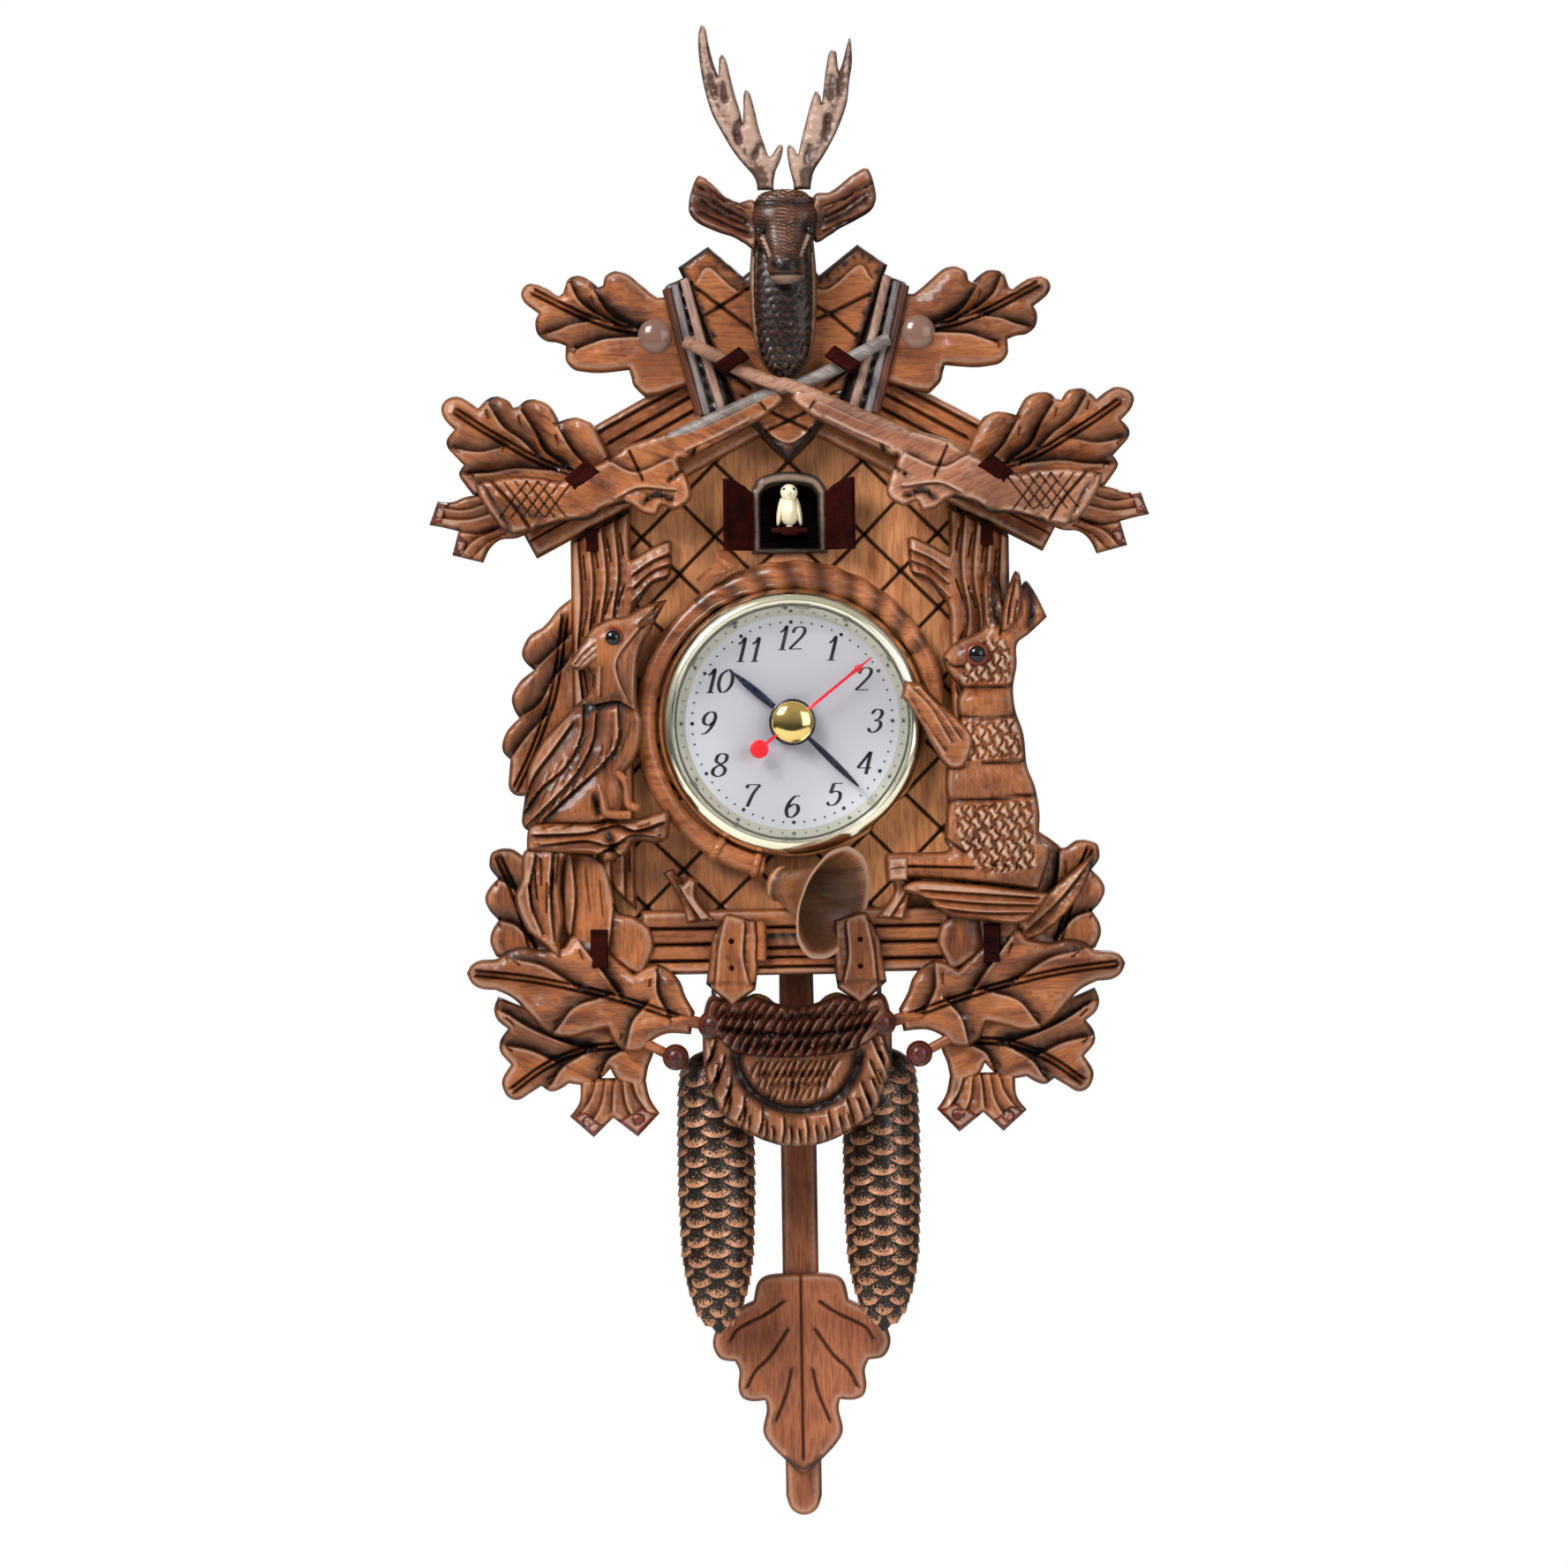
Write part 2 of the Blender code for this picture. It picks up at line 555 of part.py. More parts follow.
def make_dial():
    bezel = [
        (BEZEL_BORE, 73.4), (38.6, 75.0), (40.2, 74.4), (41.8, 70.5), (BEZEL_OUTER, 66.0),
        (BEZEL_OUTER, PANEL_FRONT + GAP), (BEZEL_BORE, PANEL_FRONT + GAP),
    ]
    paint(turned("bezel", bezel, steps=40, closed=True), "brass")
    dial = turned(
        "dial",
        [(4.6, DIAL_FRONT), (DIAL_RADIUS, DIAL_FRONT), (DIAL_RADIUS, 63.4), (4.6, 63.4)],
        steps=32,
        closed=True,
    )
    paint(dial, "dial_print")
    dome = [(0, 74.6), (12, 74.3), (24, 73.4), (36.9, 72.0), (36.9, 71.0)]
    dome += [(24, 72.3), (12, 73.2), (0, 73.5)]
    paint(turned("lens", dome, steps=32), "lens")

    for name, length, width, angle, layer, bore in (
        ("hour_hand", 24.5, 5.0, HOUR_ANGLE, (66.6, 67.2), 1.8),
        ("minute_hand", 29.3, 4.2, MINUTE_ANGLE, (68.2, 68.8), 0.8),
    ):
        outline = clockwise(hand_outline(length, width), angle)
        paint(board(name, outline, layer, holes=(circle(bore, 10),)), "hand_paint")
    needle = [(-0.45, -11), (0.45, -11), (0.45, 24), (1.5, 27), (0, 32.4), (-1.5, 27), (-0.45, 24)]
    second = board("needle", clockwise(needle, SECOND_ANGLE), (70.0, 70.6))
    weight = clockwise([(0, -13.5)], SECOND_ANGLE)[0]
    extras = [
        drum("counterweight", 3.0, 70.0, 70.6, weight, 12),
        turned("cap", [(0, 72.4), (4, 72.0), (6.6, 70.9), (6.6, 70.0), (0, 70.0)], steps=16),
    ]
    paint(combined("second_hand", second, extras), "brass")


# ---------------------------------------------------------------- the movement


def gear_outline(teeth, module, phase, centre=(0, 0)):
    """Stub teeth: one point at each tip and one at each root, with a tooth centred on the phase."""
    pitch_radius = teeth * module / 2
    points = []
    for index in range(2 * teeth):
        radius = pitch_radius + (0.5 if index % 2 == 0 else -0.75) * module
        angle = phase + math.pi * index / teeth
        points.append((centre[0] + radius * math.cos(angle), centre[1] + radius * math.sin(angle)))
    return points


def meshing_phase(teeth, mate_teeth, mate_phase, bearing):
    """The phase that puts a gap of this gear over its mate's tooth; bearing is from mate to gear."""
    pitch = 2 * math.pi / mate_teeth
    lead = (mate_phase - bearing) % pitch
    return bearing + math.pi - lead * mate_teeth / teeth + math.pi / teeth


def polar(distance, bearing):
    return distance * math.cos(bearing), distance * math.sin(bearing)


def make_wheels():
    minute_at = polar(MINUTE_WHEEL_DISTANCE, MINUTE_WHEEL_BEARING)
    third_at = polar(THIRD_WHEEL_DISTANCE, THIRD_WHEEL_BEARING)
    rotor_at = polar(ROTOR_DISTANCE, ROTOR_BEARING)
    motion_module = MINUTE_WHEEL_DISTANCE * 2 / (8 + 24)
    hour_module = MINUTE_WHEEL_DISTANCE * 2 / (6 + 24)
    centre_module = THIRD_WHEEL_DISTANCE * 2 / (6 + 45)
    third_module = THIRD_WHEEL_DISTANCE * 2 / (6 + 48)
    rotor_module = ROTOR_DISTANCE * 2 / (8 + 48)

    # Motion work: the hands turn at one to twelve through the minute wheel.
    hour = board("hour", gear_outline(24, hour_module, 0), HOUR_LAYER, holes=(circle(1.8, 12),))
    pipe = tube("pipe", 2.6, 1.8, HOUR_LAYER[1] - 0.4, 66.3, steps=12)
    paint(combined("hour_wheel", hour, [pipe]), "gear_plastic")

    cannon = board("cannon", gear_outline(8, motion_module, 0), CANNON_LAYER)
    arbor = drum("arbor", 1.6, CENTRE_LAYER[0] - 0.1, 67.9, steps=12)
    bore = drum("bore", 0.8, 40, 80, steps=10)
    minute_arbor = combined("minute_arbor", cannon, [arbor])
    paint(combined("minute_arbor", minute_arbor, [bore], "DIFFERENCE"), "brass")

    phase = meshing_phase(24, 8, 0, MINUTE_WHEEL_BEARING)
    wheel = board(
        "wheel", gear_outline(24, motion_module, phase, minute_at), CANNON_LAYER, minute_at
    )
    phase = meshing_phase(6, 24, 0, MINUTE_WHEEL_BEARING)
    leaves = (CANNON_LAYER[1] - 0.4, HOUR_LAYER[1])
    pinion = board("pinion", gear_outline(6, hour_module, phase, minute_at), leaves, minute_at)
    stem = drum("stem", 0.8, 37.3, CANNON_LAYER[0] + 0.4, minute_at, 10)
    paint(combined("minute_wheel", wheel, [pinion, stem]), "gear_plastic")
    knob = [(0, 37.0), (2.2, 37.0), (6.0, 35.6), (6.0, 31.0), (5.2, 30.2), (0, 30.2)]
    paint(turned("setting_knob", knob, minute_at, 18), "movement_plastic")

    # Going train: rotor, second wheel, third wheel and the centre wheel, which slips on the arbor.
    centre = board(
        "centre_wheel", gear_outline(45, centre_module, 0), CENTRE_LAYER, holes=(circle(1.75, 12),)
    )
    paint(centre, "gear_plastic")
    phase = meshing_phase(6, 45, 0, THIRD_WHEEL_BEARING)
    pinion = board(
        "pinion", gear_outline(6, centre_module, phase, third_at), CENTRE_LAYER, third_at
    )
    wheel = board("wheel", gear_outline(48, third_module, 0, third_at), THIRD_LAYER, third_at)
    stem = drum("stem", 0.6, 42.5, 53.5, third_at, 10)
    paint(combined("third_wheel", wheel, [stem, pinion]), "gear_plastic")

    phase = meshing_phase(6, 48, 0, THIRD_WHEEL_BEARING + math.pi)
    leaves = (SECOND_WHEEL_LAYER[1] - 0.4, THIRD_LAYER[1])
    pinion = board("pinion", gear_outline(6, third_module, phase), leaves)
    wheel = board("wheel", gear_outline(48, rotor_module, 0), SECOND_WHEEL_LAYER)
    stem = drum("stem", 0.62, 42.5, 69.7, steps=10)
    paint(combined("second_wheel", wheel, [pinion, stem]), "gear_plastic")

    phase = meshing_phase(8, 48, 0, ROTOR_BEARING)
    pinion = board(
        "pinion", gear_outline(8, rotor_module, phase, rotor_at), SECOND_WHEEL_LAYER, rotor_at
    )
    magnet = drum("magnet", 3.0, 45.6, 48.3, rotor_at, 12)
    stem = drum("stem", 0.6, 42.5, 51, rotor_at, 10)
    paint(combined("rotor", magnet, [stem, pinion]), "steel")


def make_movement():
    tub = block("tub", -28, 28, -40, 28, COVER_FRONT + GAP, PANEL_BACK - GAP)
    inside = block("inside", -26, 26, -38, 26, 30, CASE_FRONT_WALL)
    bush = drum("bush", 4.2, 57, DIAL_FRONT, steps=16)
    bore = drum("bore", 2.75, 50, 70, steps=12)
    tub = combined("tub", tub, [bush])
    paint(combined("movement_case", tub, [inside, bore], "DIFFERENCE"), "movement_plastic")

    cover = block("cover", -28, 30, -40, 28, COVER_BACK, COVER_FRONT)
    tray = block("tray", 29, 63, -28.5, 29.5, 26.5, COVER_FRONT)
    pivot = drum("pivot", 1.5, 23.6, COVER_BACK + 1, (0, PENDULUM_PIVOT), 12)
    cover = combined("cover", cover, [tray, pivot])
    minute_at = polar(MINUTE_WHEEL_DISTANCE, MINUTE_WHEEL_BEARING)
    troughs = block("troughs", 31, 61.5, -26.5, 27.5, 20, 40.2)
    stem_hole = drum("stem_hole", 1.3, 30, 50, minute_at, 12)
    cover = combined("movement_cover", cover, [troughs, stem_hole], "DIFFERENCE")
    paint(cover, "movement_plastic")

    for name, across in (("battery_cell_inner", 38.6), ("battery_cell_outer", 53.5)):
        make_cell(name, across, 32.5)

    card = block("card", -24, 24, -37, -19, 43.0, 44.2)
    coil = turned("coil", [(0, 9), (2.7, 9), (2.7, -9), (0, -9)], (0, -27), 12)
    coil.rotation_euler = (0, math.radians(90), 0)
    coil.location = place(0, -27, 46.7)
    paint(combined("circuit_board", card, [coil]), "board_green")


def make_cell(name, across, forward):
    """An upright AA cell, with its raised terminal at the top."""
    profile = [(0, 50.4), (2.7, 50.4), (2.7, 48.9), (7.1, 48.9), (7.1, 0), (0, 0)]
    cell = turned(name, profile, steps=16)
    cell.rotation_euler = (0, 0, 0)
    cell.location = place(across, -25.0, forward)
    paint(cell, "cell_wrap")


# ---------------------------------------------------------------- the cuckoo


def make_cuckoo():
    frame = arched(12.0, 53.5, 79.6, 8)
    opening = arched(9.0, 55.3, 75.8, 8)
    paint(board("door_frame", frame, (PANEL_FRONT + GAP, 66.0), holes=(opening,)), "door_wood")
    layer = (DOOR_DEPTH - 0.8, DOOR_DEPTH + 0.8)
    for side, sign in (("left", -1), ("right", 1)):
        leaf = [(-12.0, 54.5), (-0.25, 54.5), (-0.25, 77.2), (-4.0, 76.6), (-8.5, 74.9), (-12, 72.5)]
        pivot = (sign * DOOR_HINGE, 0)
        turn = sign * DOOR_OPEN
        door = board(f"door_{side}", mirrored(leaf, side), layer, pivot, turn=turn)
        paint(door, "door_wood")

    body = ball("body", (0, 67.0, 75.5), (3.3, 4.6, 7.5))
    lumps = [
        ball("head", (0, 72.2, 80.5), (2.9, 2.8, 3.1)),
        ball("beak", (0, 71.6, 83.6), (0.9, 0.8, 2.4), segments=8),
        ball("tail", (0, 64.6, 69.0), (2.0, 1.0, 3.0), segments=8),
    ]
    paint(combined("cuckoo", body, lumps), "ivory_plastic")
    sled = block("sled", -2.5, 2.5, 59.4, 61.6, 40, 78)
    extras = [
        block("perch", -5.7, 5.7, 59.9, 61.4, 76.0, 78.0),
        block("pusher", -6.0, 6.0, 59.4, 74.0, 38, 41),
    ]
    paint(combined("cuckoo_carriage", sled, extras), "door_wood")


# ---------------------------------------------------------------- pendulum and cones


def make_pendulum():
    half = [
        (5.7, -177.5), (11.0, -177.5), (14.0, -180.0), (15.3, -185.5), (25.5, -191.5),
        (28.3, -199.0), (27.5, -203.0), (21.5, -205.0), (20.0, -208.2), (20.0, -215.5),
        (18.0, -217.5), (12.0, -218.0), (12.8, -227.5), (10.5, -232.0), (5.7, -237.0),
        (0.5, -241.5),
    ]
    leaf = half + [(-across, up) for across, up in half[::-1]]
    shape = [(-4.9, -60), *arc((0, PENDULUM_PIVOT), 4.9, 180, 0, 6), (4.9, -60)]
    shape += [(5.75, -110), *arc((0, -249.0), 5.75, 0, -180, 6), (-5.75, -110)]
    bar = board(
        "bar", shape, (PENDULUM_BACK, 28.5), (0, PENDULUM_PIVOT),
        holes=(circle(1.7, 12, (0, PENDULUM_PIVOT)),),
    )
    plate = board("leaf", leaf, (28.0, 32.5), (0, PENDULUM_PIVOT))
    paint(combined("pendulum", bar, [plate]), "carved_wood")


def make_cones():
    top, length, widest = -104.0, 91.0, 12.9
    for side, sign in (("left", -1), ("right", 1)):
        profile = [(0, 0), (0.9, 0), (0.9, top - CONE_PIVOT + 0.6), (3.5, top - CONE_PIVOT)]
        for share in (0.04, 0.12, 0.25, 0.4, 0.55, 0.7, 0.83, 0.93):
            round_out = math.sin(math.pi * min(share * 1.25, 1) ** 0.6) ** 0.5
            swell = widest * (round_out if share < 0.34 else math.cos((share - 0.34) * 1.45))
            profile.append((max(swell, 3.6), top - CONE_PIVOT - length * share))
        profile += [(2.4, top - CONE_PIVOT - length), (0, top - CONE_PIVOT - length)]
        cone = turned(f"cone_{side}", profile, steps=14)
        cone.rotation_euler = (0, 0, 0)
        cone.location = place(sign * CONE_ACROSS, CONE_PIVOT - GAP / 2, CONE_FORWARD)
        paint(cone, "cone_paint")


clear_scene()
PIECES = new_collection("cuckoo_clock")
make_case()
make_crest()
make_leaves()
make_animals()
make_horn()
make_bag()
make_dial()
make_wheels()
make_movement()
make_cuckoo()
make_pendulum()
make_cones()
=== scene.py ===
"""The looks of the carved cuckoo clock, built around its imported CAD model.

Sizes here are in millimetres from the centre of the dial: across (to the right), up, and forward
out of the wall. place() turns them into metres in the frame that the CAD model uses.
"""

from math import copysign, cos, exp, pi, radians, sin

import bpy
import numpy as np
from mathutils import Matrix, Vector
from mathutils.geometry import delaunay_2d_cdt
from mathutils.kdtree import KDTree


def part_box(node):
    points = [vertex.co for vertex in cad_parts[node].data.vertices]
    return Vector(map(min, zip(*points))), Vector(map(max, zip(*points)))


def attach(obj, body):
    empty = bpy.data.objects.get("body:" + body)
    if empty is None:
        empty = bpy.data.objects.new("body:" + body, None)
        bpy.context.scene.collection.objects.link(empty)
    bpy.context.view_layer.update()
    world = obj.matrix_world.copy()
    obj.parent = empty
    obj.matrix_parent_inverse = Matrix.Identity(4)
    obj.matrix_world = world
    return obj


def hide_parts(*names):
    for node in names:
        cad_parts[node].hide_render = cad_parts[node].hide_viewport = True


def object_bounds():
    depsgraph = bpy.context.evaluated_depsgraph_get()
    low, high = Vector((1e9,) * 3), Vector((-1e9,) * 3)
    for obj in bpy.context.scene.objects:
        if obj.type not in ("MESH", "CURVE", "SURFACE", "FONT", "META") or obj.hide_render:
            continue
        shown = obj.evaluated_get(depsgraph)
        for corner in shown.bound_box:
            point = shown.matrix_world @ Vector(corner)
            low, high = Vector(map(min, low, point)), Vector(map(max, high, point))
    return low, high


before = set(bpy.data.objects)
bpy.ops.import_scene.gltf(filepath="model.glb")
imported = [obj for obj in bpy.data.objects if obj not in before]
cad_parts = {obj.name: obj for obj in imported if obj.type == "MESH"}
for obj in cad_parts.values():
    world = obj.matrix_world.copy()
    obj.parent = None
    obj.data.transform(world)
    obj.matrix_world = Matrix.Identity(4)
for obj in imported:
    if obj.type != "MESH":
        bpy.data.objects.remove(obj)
cad_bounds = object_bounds()

MM = 0.001
CORNER = True
DIAL_LOW, DIAL_HIGH = (Vector(corner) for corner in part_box("dial"))
DIAL_UP = (DIAL_LOW.z + DIAL_HIGH.z) / 2
PANEL_FRONT = -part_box("front_panel")[0][1] / MM
# The three layers of carving start this far forward of the wall.
FIRST = PANEL_FRONT + 0.3
SECOND = -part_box("crest_shield")[1][1] / MM
THIRD = 70.3
SIDES = (("left", 1), ("right", -1))
ROW_GAP = 0.866
DOOR_GAP = 0.25


# ---------------------------------------------------------------- geometry tools


def place(across, up, forward):
    return Vector((across * MM, -forward * MM, up * MM + DIAL_UP))


def new_object(name, points, faces, material, body="case", shades=None, sharp=35):
    """A mesh piece from points in (across, up, forward), with a shade value at each point: stain, painted
    shade and painted highlight.
    """
    mesh = bpy.data.meshes.new(name)
    points = np.asarray(points, float)
    world = np.stack(
        [points[:, 0] * MM, -points[:, 2] * MM, points[:, 1] * MM + DIAL_UP], axis=1
    )
    mesh.from_pydata(world.tolist(), [], [list(map(int, face)) for face in faces])
    layer = mesh.attributes.new("shade", "FLOAT", "POINT")
    values = np.ones(len(points)) if shades is None else np.asarray(shades, float)
    layer.data.foreach_set("value", values.astype(np.float32))
    mesh.validate()
    mesh.shade_smooth()
    mesh.set_sharp_from_angle(angle=radians(sharp))
    obj = bpy.data.objects.new(name, mesh)
    bpy.context.scene.collection.objects.link(obj)
    obj.data.materials.append(material)
    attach(obj, body)
    return obj


def bent(p0, p1, p2, p3, pieces):
    """Points from p1 towards p2 on a smooth curve that passes through all four."""
    first, second = 2 * p0 - 5 * p1 + 4 * p2 - p3, 3 * p1 - p0 - 3 * p2 + p3
    shares = [piece / pieces for piece in range(pieces)]
    return [0.5 * (2 * p1 + (p2 - p0) * t + first * t**2 + second * t**3) for t in shares]


def flowing(points, step=1.2):
    """A closed outline through the points: round everywhere but at those marked CORNER."""
    result = []
    count = len(points)
    for index in range(count):
        start, end = points[index], points[(index + 1) % count]
        before = start if len(start) > 2 else points[index - 1]
        after = end if len(end) > 2 else points[(index + 2) % count]
        p0, p1, p2, p3 = (np.array(p[:2], float) for p in (before, start, end, after))
        pieces = max(1, round(float(np.linalg.norm(p2 - p1)) / step))
        result += bent(p0, p1, p2, p3, pieces)
    return np.array(result)


def along(path, step=0.8, size=2):
    """Evenly spaced points on an open smooth line, from the first numbers of each point of a path."""
    path = [np.array(p[:size], float) for p in path]
    ends = [2 * path[0] - path[1], *path, 2 * path[-1] - path[-2]]
    result = []
    for p0, p1, p2, p3 in zip(ends, ends[1:], ends[2:], ends[3:]):
        pieces = max(1, round(float(np.linalg.norm(p2 - p1)) / step))
        result += bent(p0, p1, p2, p3, pieces)
    result.append(path[-1])
    return np.array(result)


def distance(points, line, closed=False):
    """How far each point is from a line of straight pieces."""
    line = np.vstack([line, line[:1]]) if closed else line
    return beside(points, line)[0]


def inside(points, outline):
    ends = np.roll(outline, -1, axis=0)
    odd = np.zeros(len(points), bool)
    for (x1, y1), (x2, y2) in zip(outline, ends):
        if y1 == y2:
            continue
        crosses = (y1 > points[:, 1]) != (y2 > points[:, 1])
        odd ^= crosses & (points[:, 0] < (x2 - x1) * (points[:, 1] - y1) / (y2 - y1) + x1)
    return odd


def flip(points, sign):
    """Mirrors a path for the right side; sign is 1 on the left and -1 on the right."""
    return [(sign * p[0], *p[1:]) for p in points]


def board(left, low, right, high):
    """The outline of a sawn rectangle."""
    return [(left, low, CORNER), (right, low, CORNER), (right, high, CORNER), (left, high, CORNER)]


def cut(path, width=0.9, depth=0.9, dark=0.85):
    """A V-shaped knife cut along a path, dark with stain at its bottom."""
    return ("cut", path, width, depth, dark)


def swell(path, width, height):
    """A rounded rise along a path."""
    return ("swell", path, width, height, 0)


def sink(path, width, depth, dark=0.5):
    """A soft hollow along a path, painted darker inside as painted shade."""
    return ("swell", path, width, -depth, dark)


def beside(points, line):
    """How far each point is from an open line, and whether it is on the line's left (1 or -1)."""
    best = np.full(len(points), 1e9)
    side = np.ones(len(points))
    for start, end in zip(line[:-1], line[1:]):
        run = end - start
        length = float(run @ run) or 1e-12
        off = points - start
        share = np.clip((off @ run) / length, 0, 1)
        gap = off - share[:, None] * run
        away = np.hypot(gap[:, 0], gap[:, 1])
        nearer = away < best
        best = np.where(nearer, away, best)
        turn = run[0] * off[:, 1] - run[1] * off[:, 0]
        side = np.where(nearer, np.sign(turn), side)
    return best, side


def fold(path, width=5, depth=1.8, dark=0.6):
    """One lobe tucked behind another: a step down on the path's left that dishes back up, with painted
    shade in the dish and a painted highlight on the lip.
    """
    return ("fold", path, width, depth, dark)


def vein(path, depth=1.3, dark=0.9):
    """A raised rib between two knife cuts."""
    return ("vein", path, 1.6, depth, dark)


def chisel(region, pitch, depth=0.8, light=0.5):
    """Small diamond-shaped gouge marks, in crossing rows, that fill a region."""
    return ("chisel", region, pitch, depth, light)


def marks_beside(lines, fine):
    """Mesh points along each carved line, and a little way off it on both sides."""
    spread_of = {
        "cut": lambda width: (0, width, -width, width + 0.5, -width - 0.5),
        "fold": lambda width: (0.3, -0.3, 1.3, -1.4),
        "vein": lambda width: (0, 0.85, -0.85, 1.6, -1.6),
    }
    found = []
    for kind, line, width, *_ in lines:
        if kind not in spread_of:
            continue
        run = np.gradient(line, axis=0)
        run /= np.maximum(np.linalg.norm(run, axis=1, keepdims=True), 1e-9)
        left = np.stack([-run[:, 1], run[:, 0]], axis=1)
        found += [line + left * offset for offset in spread_of[kind](width)]
    chosen = {}
    for points in found:
        for point in points:
            chosen.setdefault((round(point[0] / fine / 0.45), round(point[1] / fine / 0.45)), point)
    return np.array(list(chosen.values())) if chosen else np.zeros((0, 2))


def clear_of(points, others, gap):
    """The points that are further than a gap from every one of the others."""
    tree = KDTree(len(others))
    for index, (x, y) in enumerate(others):
        tree.insert((x, y, 0), index)
    tree.balance()
    return points[np.array([tree.find((x, y, 0))[2] > gap for x, y in points])]


def hexagons(low, high, step):
    columns = np.arange(low[0], high[0], step)
    rows = np.arange(low[1], high[1], step * ROW_GAP)
    return np.array([(x + (index % 2) * step / 2, y) for index, y in enumerate(rows) for x in columns])


def gouged(flat, pick, region, pitch, depth, light, height, shade):
    """Sinks a region's points into diamond-shaped gouge marks, painted dark in the marks as painted shade,
    with pale crests between them from wear and painted highlight.
    """
    chosen = pick[inside(flat[pick], region)]
    spot = flat[chosen]
    edge = np.clip(distance(spot, region, True) / 0.9, 0, 1)
    u = spot[:, 0] / pitch[0] + 0.13 * np.sin(spot[:, 1] * 1.9)
    v = spot[:, 1] / pitch[1] + 0.11 * np.sin(spot[:, 0] * 1.3)
    rising = np.abs((u + v) % 1 - 0.5) * 2
    falling = np.abs((u - v) % 1 - 0.5) * 2
    crest = np.clip(np.minimum(rising, falling) * 1.5, 0, 1) ** 0.8
    height[chosen] -= depth * (1 - crest) * edge
    tint = 0.3 + (0.7 + light) * crest
    shade[chosen] = shade[chosen] * (1 - edge) + tint * edge


def carve(flat, outline_gap, full, features, edge, rim, waves, dark_rim):
    """Height of the worked front at each point, and its shade value: stain, painted shade in hollows and
    folds, and above 1 wear and painted highlights.
    """
    share = np.clip(outline_gap / edge, 0, 1)
    height = full * (rim + (1 - rim) * np.sqrt(1 - (1 - share) ** 2))
    height += waves * (np.sin(flat[:, 0] * 1.7 + flat[:, 1] * 0.6) + np.sin(flat[:, 1] * 2.1))
    shade = 0.7 + 0.3 * np.clip(outline_gap / 1.6, 0, 1)
    if dark_rim:
        shade = np.where(outline_gap < dark_rim, 0.12, shade)
    # Painted highlight, with some wear: a light line about 1.5 mm in from the outline, and later the lips
    # of folds.
    wear_and_highlight = 0.3 * np.exp(-(((outline_gap - 1.5) / 0.55) ** 2))
    for kind, line, width, amount, dark in features:
        reach = 1 if kind == "chisel" else width + 1
        near_box = (flat >= line.min(0) - reach) & (flat <= line.max(0) + reach)
        pick = np.where(near_box.all(1))[0]
        if not len(pick):
            continue
        if kind == "chisel":
            gouged(flat, pick, line, width, amount, dark, height, shade)
            continue
        away, side = beside(flat[pick], line)
        near = np.clip(1 - away / width, 0, 1)
        if kind == "cut":
            height[pick] -= amount * near
            shade[pick] = np.minimum(shade[pick], 1 - dark * np.clip(near * 1.5, 0, 1))
        elif kind == "swell":
            soft = near * near * (3 - 2 * near)
            height[pick] += amount * soft
            shade[pick] -= dark * soft
        elif kind == "fold":
            # Painted shade in the dish; the raised lip gets a painted highlight.
            dish = np.where(side > 0, near**1.5, 0)
            lip = np.where(side > 0, 0, np.clip(1 - away / 1.4, 0, 1))
            height[pick] += 0.25 * amount * lip - amount * dish
            shade[pick] -= dark * dish
            wear_and_highlight[pick] = np.maximum(wear_and_highlight[pick], 0.34 * lip)
        else:
            groove = np.clip(1 - np.abs(away - 0.85) / 0.6, 0, 1)
            height[pick] -= amount * groove
            shade[pick] = np.minimum(shade[pick], 1 - dark * groove)
            shade[pick] = np.where(away < 0.35, 1.05, shade[pick])
    # Painted shade: the further a point lies below the full height, in hollows and on round edges, the
    # darker it is made.
    tone = np.clip((height / full - 0.3) / 0.6, 0, 1)
    shade *= 0.36 + 0.64 * tone
    shade += wear_and_highlight
    return np.maximum(height, full * 0.12), np.clip(shade, 0, 1.5)


